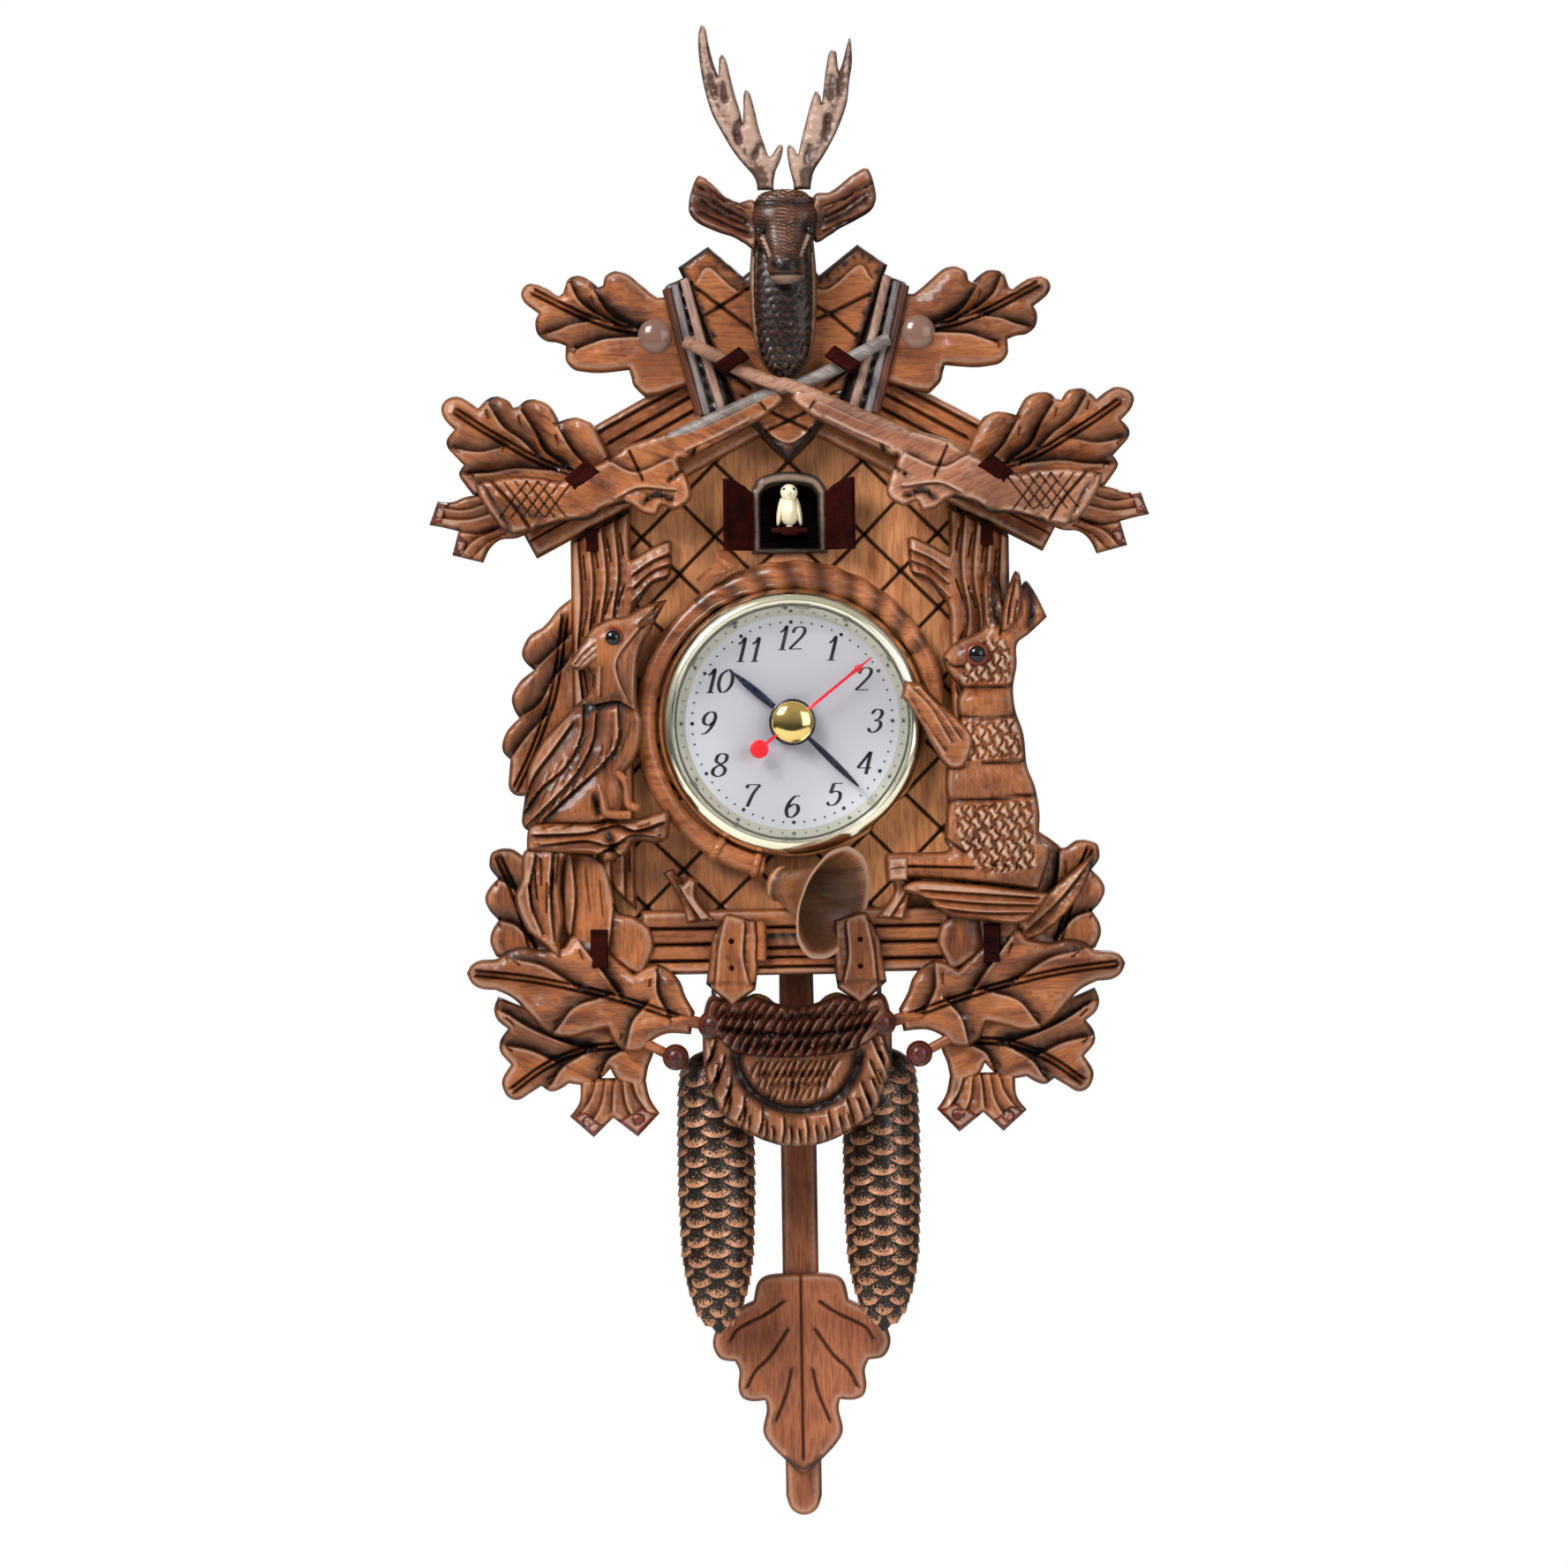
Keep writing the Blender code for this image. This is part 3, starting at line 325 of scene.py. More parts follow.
def relief(name, outline, back, front, features=(), material=None, body="case", edge=2.2, step=1.5,
           side=1, rim=0.45, fine=0.8, holes=(), waves=0.12, dark_rim=0, sharp=40, dense=None, both=False):
    """A carved board: a flat back, a worked front and walls between, in one closed mesh."""
    outline = flowing(flip(outline, side), 0.9)
    rims = [outline] + [flowing(flip(hole, side), 0.9) for hole in holes]
    lines = []
    for kind, path, width, amount, dark in features:
        path = flip(path, side)
        if kind == "chisel":
            line = np.array([point[:2] for point in path], float)
        else:
            line = along(path[::side], fine)
        lines.append((kind, line, width, amount, dark))
    low, high = outline.min(0), outline.max(0)
    grid = hexagons(low, high, step)
    marks = marks_beside(lines, fine)
    if dense:
        for kind, line, *_ in lines:
            if kind == "chisel":
                finer = hexagons(line.min(0), line.max(0), dense)
                marks = np.concatenate([marks, finer[inside(finer, line)]])
    if len(marks):
        grid = clear_of(grid, marks, step * 0.6)
    bands = []
    for ring in rims:
        run = np.roll(ring, -1, axis=0) - np.roll(ring, 1, axis=0)
        run /= np.maximum(np.linalg.norm(run, axis=1, keepdims=True), 1e-9)
        normal = np.stack([-run[:, 1], run[:, 0]], axis=1)
        for reach in (0.55, 1.3):
            for sign in (1, -1):
                band = ring + sign * reach * normal
                bands.append(band[distance(band, ring, True) > reach * 0.92])
    bands = np.concatenate(bands)
    grid = clear_of(grid, bands, step * 0.5)
    if len(marks):
        marks = clear_of(marks, bands, 0.3)
    free = np.concatenate([bands, marks, grid])
    keep = inside(free, outline) & (distance(free, outline, True) > 0.4)
    for hole in rims[1:]:
        keep &= ~inside(free, hole) & (distance(free, hole, True) > 0.4)
    points = np.concatenate([*rims, free[keep]])
    edges = []
    start = 0
    for ring in rims:
        edges += [(start + i, start + (i + 1) % len(ring)) for i in range(len(ring))]
        start += len(ring)
    verts, _, faces, *_ = delaunay_2d_cdt([Vector(p) for p in points], edges, [], 1, 1e-5)
    flat = np.array([tuple(v) for v in verts])
    faces = np.array([tuple(face) for face in faces])
    centres = flat[faces].mean(1)
    solid = inside(centres, outline)
    for hole in rims[1:]:
        solid &= ~inside(centres, hole)
    faces = faces[solid]
    used = np.unique(faces)
    renumber = np.full(len(flat), -1)
    renumber[used] = np.arange(len(used))
    flat, faces = flat[used], renumber[faces]
    border = distance(flat, outline, True)
    for hole in rims[1:]:
        border = np.minimum(border, distance(flat, hole, True))
    height, shade = carve(flat, border, front - back, lines, edge, rim, waves, dark_rim)
    return closed_relief(name, flat, faces, back, height, shade, material, body, sharp, both)


def closed_relief(name, flat, faces, back, height, shade, material, body, sharp, both):
    """Closes a worked front with side walls and a flat back, or the same work on both faces."""
    count = len(flat)
    a, b, c = flat[faces[:, 0]], flat[faces[:, 1]], flat[faces[:, 2]]
    area = (b[:, 0] - a[:, 0]) * (c[:, 1] - a[:, 1]) - (c[:, 0] - a[:, 0]) * (b[:, 1] - a[:, 1])
    faces = np.where((area < 0)[:, None], faces[:, ::-1], faces)
    pairs = {}
    for face in faces.tolist():
        for start, end in zip(face, face[1:] + face[:1]):
            pairs[(start, end)] = True
    walls = [(s, s + count, e + count, e) for s, e in pairs if (e, s) not in pairs]
    top = np.column_stack([flat, back + height])
    bottom = np.column_stack([flat, back - height if both else np.full(count, back)])
    # Unless both faces are worked, the walls shade down to 0.6 at the flat back: painted shade towards the
    # back.
    shades = np.concatenate([shade, shade if both else np.full(count, 0.6)])
    every = faces.tolist() + (faces[:, ::-1] + count).tolist() + walls
    return new_object(name, np.concatenate([top, bottom]), every, material, body, shades, sharp)


def tube_faces(rings, sides):
    """The faces of a closed tube whose points come ring by ring."""
    faces = []
    for ring in range(rings - 1):
        for side in range(sides):
            here, after = ring * sides + side, ring * sides + (side + 1) % sides
            faces.append((here, here + sides, after + sides, after))
    last = (rings - 1) * sides
    return [*faces, range(sides), range(last + sides - 1, last - 1, -1)]


def swept(name, path, radii, material, body="case", sides=16, squash=1, shade=None):
    """A tube along (across, up, forward) points with a radius at each; ridges come from shade."""
    path = np.asarray(path, float)
    radii = np.broadcast_to(np.asarray(radii, float), (len(path),))
    run = np.gradient(path, axis=0)
    run /= np.linalg.norm(run, axis=1, keepdims=True)
    lift = np.array((0, 0, 1))
    if abs(run[:, 2]).max() > 0.95:
        lift = np.array((0.3, 1, 0.1))
    points, shades = [], []
    for index, (spot, ahead) in enumerate(zip(path, run)):
        across = np.cross(ahead, lift)
        across /= np.linalg.norm(across)
        above = np.cross(across, ahead)
        for side in range(sides):
            turn = 2 * pi * side / sides
            grow, dark = shade(index / (len(path) - 1), turn) if shade else (1, 1)
            reach = radii[index] * grow
            points.append(
                spot + reach * cos(turn) * across + reach * squash * sin(turn) * above
            )
            shades.append(dark)
    return new_object(name, points, tube_faces(len(path), sides), material, body, shades, 50)


def lathe(name, profile, centre, material, body="case", steps=64, shade=None, sharp=35):
    """A turned piece on a forward axis, from (radius, forward) points down its outer side."""
    points, rings = [], []
    for radius, forward in profile:
        if radius <= 0:
            rings.append([len(points)])
            points.append((centre[0], centre[1], forward))
        else:
            rings.append(list(range(len(points), len(points) + steps)))
            for step in range(steps):
                turn = 2 * pi * step / steps
                points.append(
                    (centre[0] + radius * cos(turn), centre[1] + radius * sin(turn), forward)
                )
    faces = []
    closed = len(rings[0]) > 1
    loops = list(zip(rings, rings[1:] + rings[:1])) if closed else list(zip(rings, rings[1:]))
    for upper, lower in loops:
        for step in range(steps):
            after = (step + 1) % steps
            if len(upper) == 1:
                faces.append((upper[0], lower[step], lower[after]))
            elif len(lower) == 1:
                faces.append((upper[step], lower[0], upper[after]))
            else:
                faces.append((upper[step], lower[step], lower[after], upper[after]))
    return new_object(name, points, faces, material, body, shade, sharp)


def lump(name, centre, radii, material, body="case", tilt=0, shape=None, segments=32):
    """A rounded lump: a ball that a function may push about, with half sizes on each axis."""
    points, shades = [], []
    rings = segments // 2
    for ring in range(rings + 1):
        polar = pi * ring / rings
        for step in range(segments):
            turn = 2 * pi * step / segments
            unit = np.array(
                (sin(polar) * cos(turn), cos(polar), sin(polar) * sin(turn))
            )
            push, dark = shape(unit) if shape else (1, 1)
            spot = unit * np.array(radii) * push
            turned = (
                spot[0] * cos(tilt) - spot[1] * sin(tilt),
                spot[0] * sin(tilt) + spot[1] * cos(tilt),
                spot[2],
            )
            points.append(np.array(centre) + np.array(turned))
            shades.append(dark)
            if ring in (0, rings):
                break
    ring_start = [0] + [1 + segments * (ring - 1) for ring in range(1, rings)] + [len(points) - 1]
    faces = []
    for step in range(segments):
        after = (step + 1) % segments
        faces.append((0, 1 + after, 1 + step))
        for ring in range(1, rings - 1):
            a, b = ring_start[ring], ring_start[ring + 1]
            faces.append((a + step, a + after, b + after, b + step))
        last = ring_start[rings - 1]
        faces.append((last + step, last + after, len(points) - 1))
    return new_object(name, points, faces, material, body, shades, 60)


# ---------------------------------------------------------------- materials


def nodes_of(name):
    material = bpy.data.materials.new(name)
    material.use_nodes = True
    tree = material.node_tree
    return material, tree, tree.nodes["Principled BSDF"]


def noise(tree, coordinates, scale, detail=4, stretch=(1, 1, 1), turn=(0, 0, 0)):
    mapping = tree.nodes.new("ShaderNodeMapping")
    mapping.vector_type = "TEXTURE"
    mapping.inputs["Scale"].default_value = [1 / amount for amount in stretch]
    mapping.inputs["Rotation"].default_value = turn
    tree.links.new(coordinates, mapping.inputs["Vector"])
    texture = tree.nodes.new("ShaderNodeTexNoise")
    texture.inputs["Scale"].default_value = scale
    texture.inputs["Detail"].default_value = detail
    tree.links.new(mapping.outputs["Vector"], texture.inputs["Vector"])
    return texture.outputs["Fac"]


def ramp(tree, value, stops):
    made = tree.nodes.new("ShaderNodeValToRGB")
    elements = made.color_ramp.elements
    while len(elements) < len(stops):
        elements.new(0.5)
    for element, (position, colour) in zip(elements, stops):
        element.position = position
        element.color = (*colour, 1)
    tree.links.new(value, made.inputs["Fac"])
    return made.outputs["Color"]


def blended(tree, factor, first, second, kind="MIX"):
    made = tree.nodes.new("ShaderNodeMix")
    made.data_type = "RGBA"
    made.blend_type = kind
    for socket, value in (("Factor", factor), ("A", first), ("B", second)):
        slots = [s for s in made.inputs if s.name == socket and s.enabled]
        target = slots[0]
        if isinstance(value, bpy.types.NodeSocket):
            tree.links.new(value, target)
        else:
            target.default_value = value if socket == "Factor" else (*value, 1)
    return next(s for s in made.outputs if s.enabled)


def spread(tree, value, low, high, new_low=0, new_high=1):
    made = tree.nodes.new("ShaderNodeMapRange")
    for socket, number in zip(made.inputs[1:5], (low, high, new_low, new_high)):
        socket.default_value = number
    tree.links.new(value, made.inputs[0])
    return made.outputs[0]


def bump(tree, shader, value, strength, depth):
    made = tree.nodes.new("ShaderNodeBump")
    made.inputs["Strength"].default_value = strength
    made.inputs["Distance"].default_value = depth
    tree.links.new(value, made.inputs["Height"])
    tree.links.new(made.outputs["Normal"], shader.inputs["Normal"])


def wood(name, pale, deep, dark, grain=0, stained_and_shaded=True, gloss=0.42, streak=1, worn_and_highlight=(0.5, 0.33, 0.24),
         coat=0.24, shine=0.3):
    """Wood with its grain at an angle in degrees in the wall's plane, darkened by the shade attribute for
    stain and painted shade, and lightened above 1 for wear and painted highlight.
    """
    material, tree, shader = nodes_of(name)
    place_in = tree.nodes.new("ShaderNodeTexCoord").outputs["Object"]
    turn = (0, radians(grain), 0)
    rings = noise(tree, place_in, 1, 3, (45, 260, 260), turn)
    fibre = noise(tree, place_in, 1, 5, (160, 1500, 1500), turn)
    patch = noise(tree, place_in, 38, 2)
    colour = ramp(tree, rings, [(0.32, deep), (0.5, pale), (0.68, tuple(c * 0.82 for c in pale))])
    lines = ramp(tree, fibre, [(0.36, (0.52, 0.44, 0.38)), (0.54, (1, 1, 1))])
    colour = blended(tree, 0.75 * streak, colour, lines, "MULTIPLY")
    mottle = ramp(tree, patch, [(0.36, (0.42, 0.32, 0.27)), (0.6, (1.16, 1.14, 1.1))])
    colour = blended(tree, 0.7, colour, mottle, "MULTIPLY")
    if stained_and_shaded:
        attribute = tree.nodes.new("ShaderNodeAttribute")
        attribute.attribute_name = "shade"
        value = attribute.outputs["Fac"]
        # Low shade values mix in the dark colour for stain and painted shade; values above 1 mix in the
        # worn colour for wear and painted highlight.
        colour = blended(tree, spread(tree, value, 0.2, 0.99), dark, colour)
        colour = blended(tree, spread(tree, value, 1.01, 1.42), colour, worn_and_highlight)
    tree.links.new(colour, shader.inputs["Base Color"])
    tree.links.new(spread(tree, fibre, 0.3, 0.7, gloss + 0.1, gloss - 0.06), shader.inputs["Roughness"])
    shader.inputs["Coat Weight"].default_value = coat
    shader.inputs["Specular IOR Level"].default_value = shine
    shader.inputs["Coat Roughness"].default_value = 0.15
    bump(tree, shader, fibre, 0.35, 0.0003)
    return material


def plain(name, colour, roughness=0.4, metallic=0, speckle=0.15, scale=900, depth=0.00005):
    """Paint, plastic or metal with a fine uneven surface."""
    material, tree, shader = nodes_of(name)
    place_in = tree.nodes.new("ShaderNodeTexCoord").outputs["Object"]
    grains = noise(tree, place_in, scale, 3)
    patches = noise(tree, place_in, scale / 14, 2)
    darker = tuple(c * (1 - speckle) for c in colour)
    lighter = tuple(min(1, c * (1 + speckle)) for c in colour)
    tree.links.new(ramp(tree, patches, [(0.35, darker), (0.65, lighter)]), shader.inputs["Base Color"])
    tree.links.new(
        spread(tree, grains, 0.3, 0.7, roughness * 0.8, roughness * 1.2), shader.inputs["Roughness"]
    )
    shader.inputs["Metallic"].default_value = metallic
    bump(tree, shader, grains, 0.3, depth)
    return material


def two_tone(name, low, high, roughness=0.4, metallic=0, scale=700, break_up=0.25):
    """Paint that goes from one colour to another with the shade attribute, which carries two-tone paint,
    stain, painted shade and painted highlight.
    """
    material, tree, shader = nodes_of(name)
    place_in = tree.nodes.new("ShaderNodeTexCoord").outputs["Object"]
    attribute = tree.nodes.new("ShaderNodeAttribute")
    attribute.attribute_name = "shade"
    grains = noise(tree, place_in, scale, 4)
    add = tree.nodes.new("ShaderNodeMath")
    add.operation = "ADD"
    tree.links.new(attribute.outputs["Fac"], add.inputs[0])
    tree.links.new(spread(tree, grains, 0.3, 0.7, -break_up, break_up), add.inputs[1])
    colour = ramp(tree, add.outputs[0], [(0.3, low), (0.75, high)])
    tree.links.new(colour, shader.inputs["Base Color"])
    tree.links.new(spread(tree, grains, 0.3, 0.7, roughness + 0.1, roughness - 0.1),
                   shader.inputs["Roughness"])
    shader.inputs["Metallic"].default_value = metallic
    bump(tree, shader, grains, 0.3, 0.0002)
    return material


CARVED = ((0.38, 0.128, 0.042), (0.16, 0.042, 0.014), (0.008, 0.0028, 0.0014))
carved = wood("carved_wood", *CARVED)
carved_tilt = wood("carved_wood_tilted", *CARVED, grain=25)
carved_back = wood("carved_wood_back_tilted", *CARVED, grain=-25)
upright = wood("carved_wood_upright", *CARVED, grain=90)
panel_wood = wood(
    "panel_wood", (0.62, 0.27, 0.11), (0.42, 0.15, 0.055), (0.012, 0.006, 0.004),
    grain=90, streak=0.8,
)
case_wood = wood("case_wood", (0.2, 0.06, 0.022), (0.1, 0.026, 0.009), (0.01, 0.005, 0.003), stained_and_shaded=False)
plain_wood = wood("plain_wood", (0.5, 0.3, 0.15), (0.38, 0.2, 0.09), (0.1, 0.05, 0.02), stained_and_shaded=False)
dark_wood = wood("dark_wood", (0.03, 0.0035, 0.0025), (0.012, 0.002, 0.0015), (0.004, 0.001, 0.001),
                 stained_and_shaded=False, gloss=0.85, coat=0, shine=0.06)
frame_wood = wood("frame_wood", (0.075, 0.058, 0.048), (0.03, 0.022, 0.018), (0.008, 0.005, 0.004))
deer_wood = wood("deer_wood", (0.12, 0.045, 0.024), (0.045, 0.015, 0.007), (0.005, 0.002, 0.001),
                 worn_and_highlight=(0.42, 0.3, 0.24), gloss=0.36, coat=0.16)
antler_skin = two_tone("antler_horn", (0.085, 0.042, 0.03), (0.4, 0.26, 0.2), 0.4)
brass = plain("polished_brass", (0.86, 0.62, 0.22), 0.12, 1, 0.05, 500, 0.00001)
bezel_gold = plain("pale_gold", (0.93, 0.89, 0.7), 0.16, 1, 0.04, 300, 0.00001)
dial_silver = plain("dial_silver", (0.62, 0.62, 0.68), 0.35, 0.25, 0.02, 600, 0.00001)
reflector_white = plain("reflector_white", (0.86, 0.85, 0.68), 0.14, 0.95, 0.02, 400, 0.00001)
ink = plain("dial_ink", (0.012, 0.012, 0.02), 0.5)
navy = plain("hand_paint", (0.006, 0.008, 0.03), 0.3)
red = plain("red_paint", (0.72, 0.01, 0.02), 0.35)
ivory = plain("ivory_plastic", (0.86, 0.76, 0.55), 0.35)
black = plain("moulded_black", (0.012, 0.012, 0.013), 0.5)
eye_black = plain("glass_eye", (0.004, 0.003, 0.003), 0.06)
eye_ring = plain("eye_ring", (0.17, 0.022, 0.006), 0.35)
boss_paint = plain("boss_grey", (0.2, 0.11, 0.08), 0.16)
cone_paint = two_tone("cone_scales", (0.008, 0.005, 0.003), (0.56, 0.26, 0.14), 0.34, 0.3, 1500, 0.5)
barrel_grey = wood("barrel_grey", (0.3, 0.27, 0.26), (0.16, 0.14, 0.13), (0.03, 0.025, 0.02), grain=25)
barrel_tan = wood("barrel_tan", (0.42, 0.23, 0.16), (0.26, 0.12, 0.075), (0.03, 0.015, 0.01), grain=-25)
stock_tan = wood("stock_tan", (0.4, 0.17, 0.095), (0.22, 0.08, 0.04), (0.016, 0.006, 0.003),
                 grain=-25, worn_and_highlight=(0.62, 0.44, 0.34))
band_dark = wood("band_dark", (0.12, 0.035, 0.015), (0.05, 0.014, 0.007), (0.01, 0.004, 0.003), grain=75)
band_grey_highlight = wood("band_grey_highlight", (0.27, 0.25, 0.26), (0.12, 0.11, 0.11), (0.02, 0.02, 0.02), grain=75)
band_pink = wood("band_pink", (0.52, 0.34, 0.28), (0.32, 0.18, 0.13), (0.03, 0.015, 0.01), grain=75)
berry_wood = wood("berry_wood", (0.2, 0.035, 0.018), (0.09, 0.014, 0.007), (0.012, 0.004, 0.003), gloss=0.3)
board_wood = wood("neck_board_wood", (0.27, 0.16, 0.11), (0.14, 0.075, 0.05), (0.02, 0.01, 0.007), grain=90)
bell_wood = wood("bell_wood", (0.36, 0.15, 0.07), (0.2, 0.075, 0.033), (0.026, 0.016, 0.008), gloss=0.3,
                 worn_and_highlight=(0.66, 0.42, 0.3), coat=0.12, shine=0.2)
pendulum_wood = wood("pendulum_wood", (0.36, 0.12, 0.052), (0.25, 0.076, 0.032), (0.03, 0.01, 0.006),
                     grain=90, gloss=0.55)
fur_wood = wood("fur_wood", (0.13, 0.03, 0.012), (0.05, 0.012, 0.005), (0.006, 0.002, 0.001),
                worn_and_highlight=(0.46, 0.25, 0.15), grain=60)
pouch_wood = wood("pouch_wood", (0.36, 0.135, 0.055), (0.17, 0.055, 0.022), (0.01, 0.003, 0.0016),
                  worn_and_highlight=(0.62, 0.42, 0.33), grain=90)
ear_wood = wood("ear_wood", (0.26, 0.085, 0.035), (0.12, 0.034, 0.013), (0.01, 0.004, 0.003),
                worn_and_highlight=(0.5, 0.4, 0.34))
horn_wood = wood("horn_wood", (0.42, 0.15, 0.06), (0.24, 0.07, 0.025), (0.03, 0.009, 0.005), gloss=0.24,
                 worn_and_highlight=(0.6, 0.36, 0.24))
frame_steel = plain("hinge_wire", (0.3, 0.3, 0.31), 0.35, 1)
steel = plain("steel", (0.5, 0.5, 0.52), 0.3, 1)
gear_white = plain("gear_acetal", (0.75, 0.74, 0.68), 0.35)
board_green = plain("board_green", (0.01, 0.12, 0.04), 0.35, scale=1500)
cell_wrap = plain("cell_wrap", (0.015, 0.06, 0.2), 0.25)


def clear_glass():
    material, tree, shader = nodes_of("clear_lens")
    shader.inputs["Base Color"].default_value = (1, 1, 1, 1)
    shader.inputs["Transmission Weight"].default_value = 1
    shader.inputs["IOR"].default_value = 1.02
    place_in = tree.nodes.new("ShaderNodeTexCoord").outputs["Object"]
    smear = noise(tree, place_in, 60, 2)
    tree.links.new(spread(tree, smear, 0.4, 0.6, 0, 0.03), shader.inputs["Roughness"])
    return material


lens_glass = clear_glass()


def finish_cad(material, *names):
    for name in names:
        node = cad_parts[name]
        node.data.materials.clear()
        node.data.materials.append(material)


# ---------------------------------------------------------------- leaves

UPPER_LEAF = [
    (-83.8, 136.5), (-82.7, 139), (-80.6, 140), (-77.7, 139.5), (-74.8, 138), (-71.9, 136, CORNER),
    (-70.5, 136.8), (-69, 140.8), (-66.9, 142.1), (-64, 142), (-61, 140.2), (-59.3, 138.6, CORNER),
    (-57.9, 139), (-57.2, 141.5), (-55.4, 143), (-52.8, 143.5), (-49.6, 142.4), (-46, 139.4),
    (-43, 136.8), (-40.6, 135, CORNER), (-36.5, 135, CORNER), (-29, 107.5, CORNER), (-36.5, 105.4),
    (-41, 104), (-45, 103.4, CORNER), (-48.5, 107), (-49.2, 109.5), (-50, 112.2, CORNER), (-59, 111.4),
    (-64.7, 111.9), (-67.6, 112.7), (-69.8, 115.2), (-70, 117.8), (-69.8, 120.1, CORNER), (-72.6, 121.2),
    (-75.9, 121.7), (-78.4, 123.5), (-79.3, 125.7), (-79.3, 128.2), (-78.2, 130.4, CORNER),
    (-80.6, 132.2), (-82.7, 134),
]
UPPER_VEINS = [
    [(-79.5, 137), (-67.6, 130.9), (-60.4, 127.8), (-53.2, 125.5), (-46, 124)],
    [(-68, 139.5), (-65.4, 134.3), (-60.4, 130), (-54.5, 126.9)],
    [(-60.5, 137), (-56.8, 131), (-52.5, 127.5), (-47, 125.2)],
    [(-76, 123.8), (-71.9, 125), (-68.3, 126.4), (-63.3, 127.4)],
    [(-65.8, 119), (-61, 120.8), (-56.8, 122), (-46, 122.6)],
]
UPPER_SWELLS = [
    [(-79, 134), (-68, 127.5)], [(-66, 139), (-58, 131.5)], [(-54, 140), (-47.5, 130)],
    [(-66, 115.5), (-53, 117.5)], [(-75, 126.8), (-66, 123.5)],
]
EAVE_LEAF = [
    (-109.6, 100.8), (-108.6, 103), (-106.5, 104.3), (-103.6, 104.5), (-100.7, 103),
    (-97.8, 100.8, CORNER), (-96.4, 102.3), (-94.2, 104.1), (-91.4, 104.4), (-88.5, 103.4),
    (-86.7, 100.8, CORNER), (-85.2, 101.2), (-82.7, 103.1), (-79, 103.2), (-75.5, 101.6), (-73.7, 99),
    (-72.3, 96.2, CORNER), (-69.8, 97), (-66.2, 97.4), (-63.3, 96.2), (-61, 94.4), (-56, 84.3, CORNER),
    (-69, 74, CORNER), (-90, 73), (-100, 73.4, CORNER), (-104, 79), (-104, 81), (-102.7, 82.8, CORNER),
    (-105.4, 85.7), (-107.6, 88.2), (-108.1, 90.4), (-107.2, 92.2), (-105.4, 94, CORNER), (-107.6, 96.2),
    (-109, 98.3),
]
EAVE_VEINS = [
    [(-104.5, 99.5), (-96.4, 94), (-89.2, 89.7), (-82, 85.4), (-74.8, 82), (-69, 80)],
    [(-94.5, 102), (-89.9, 94.7), (-84.2, 90.4), (-80.6, 86.8)],
    [(-84, 99.5), (-80.2, 93.3), (-77, 86.8), (-71, 82)], [(-72.4, 94), (-68.3, 86.8), (-64.7, 82.8)],
    [(-105.5, 88), (-97.8, 86.8), (-91.4, 87.9)],
    [(-101, 80), (-93.5, 80.3), (-85.6, 81.4), (-74, 80.5)],
]
EAVE_SWELLS = [
    [(-105, 97), (-95, 90)], [(-91.5, 100), (-85, 93.5)], [(-78.5, 99), (-74, 90)],
    [(-66, 93.5), (-62, 86)], [(-102, 84), (-90, 84.5)],
]
EAVE_TWIG = [
    (-106.5, 71.3), (-111.2, 71.5, CORNER), (-113.9, 64.1, CORNER), (-109.4, 63.2), (-104.7, 62, CORNER),
    (-106.8, 54.4, CORNER), (-97.1, 51.9, CORNER), (-95, 56.2), (-91.4, 59.1), (-85, 60), (-76, 66),
    (-84, 73.5), (-100, 73.2),
]
EAVE_TWIG_CUTS = [
    [(-112, 70), (-103, 68.5), (-94, 71)], [(-112.5, 66.5), (-102, 65.5), (-90, 68.5)],
    [(-104.5, 61.5), (-96, 61), (-86, 65.5)], [(-104, 54.5), (-99.5, 59), (-92, 62)],
    [(-100, 53.5), (-96, 57.5), (-90, 60.5)],
]
SIDE_LEAF = [
    (-68.4, 41, CORNER), (-73.4, 37.4), (-76.6, 33.4), (-79, 31, CORNER), (-83, 28.6), (-85.4, 23.8),
    (-84.6, 20.6), (-81.8, 17.8, CORNER), (-86.2, 14.2), (-88.8, 9.4), (-88.2, 5.4),
    (-86.6, 2.6, CORNER), (-90.2, -1), (-92, -5), (-91.8, -8.2), (-89.6, -10.6, CORNER), (-90, -14.6),
    (-90.2, -19.4), (-88.2, -21.8), (-85, -22.2, CORNER), (-80, -29), (-68.4, -29, CORNER),
]
SIDE_VEINS = [
    [(-88, -20), (-83, -10), (-79, 0), (-75, 12), (-71.5, 34)], [(-81.8, 17.8), (-76, 23), (-71, 27.5)],
    [(-86.6, 2.6), (-80, 7), (-76, 14), (-71, 20)], [(-89.6, -10.6), (-84, -3), (-78, 3)],
]
BACK_LEAF = [
    (-65, -71, CORNER), (-65, -33, CORNER), (-76, -35), (-83, -39.5), (-85.8, -41), (-89.5, -38.8),
    (-93, -38.7), (-96, -40), (-96.8, -43), (-96.4, -45.3), (-94.2, -48.2, CORNER), (-97.2, -51.5),
    (-98.3, -54.8), (-96.8, -58.5), (-94.2, -61.4, CORNER), (-96.4, -65), (-96.8, -68.7),
    (-95, -73, CORNER), (-84, -76, CORNER),
]
BACK_VEINS = [
    [(-93.5, -42), (-88, -55), (-83, -72)], [(-94.2, -48.2), (-90, -51), (-84, -58)],
    [(-94.2, -61.4), (-88, -63.5), (-83, -70)], [(-84, -43), (-83, -52), (-80, -64)],
]
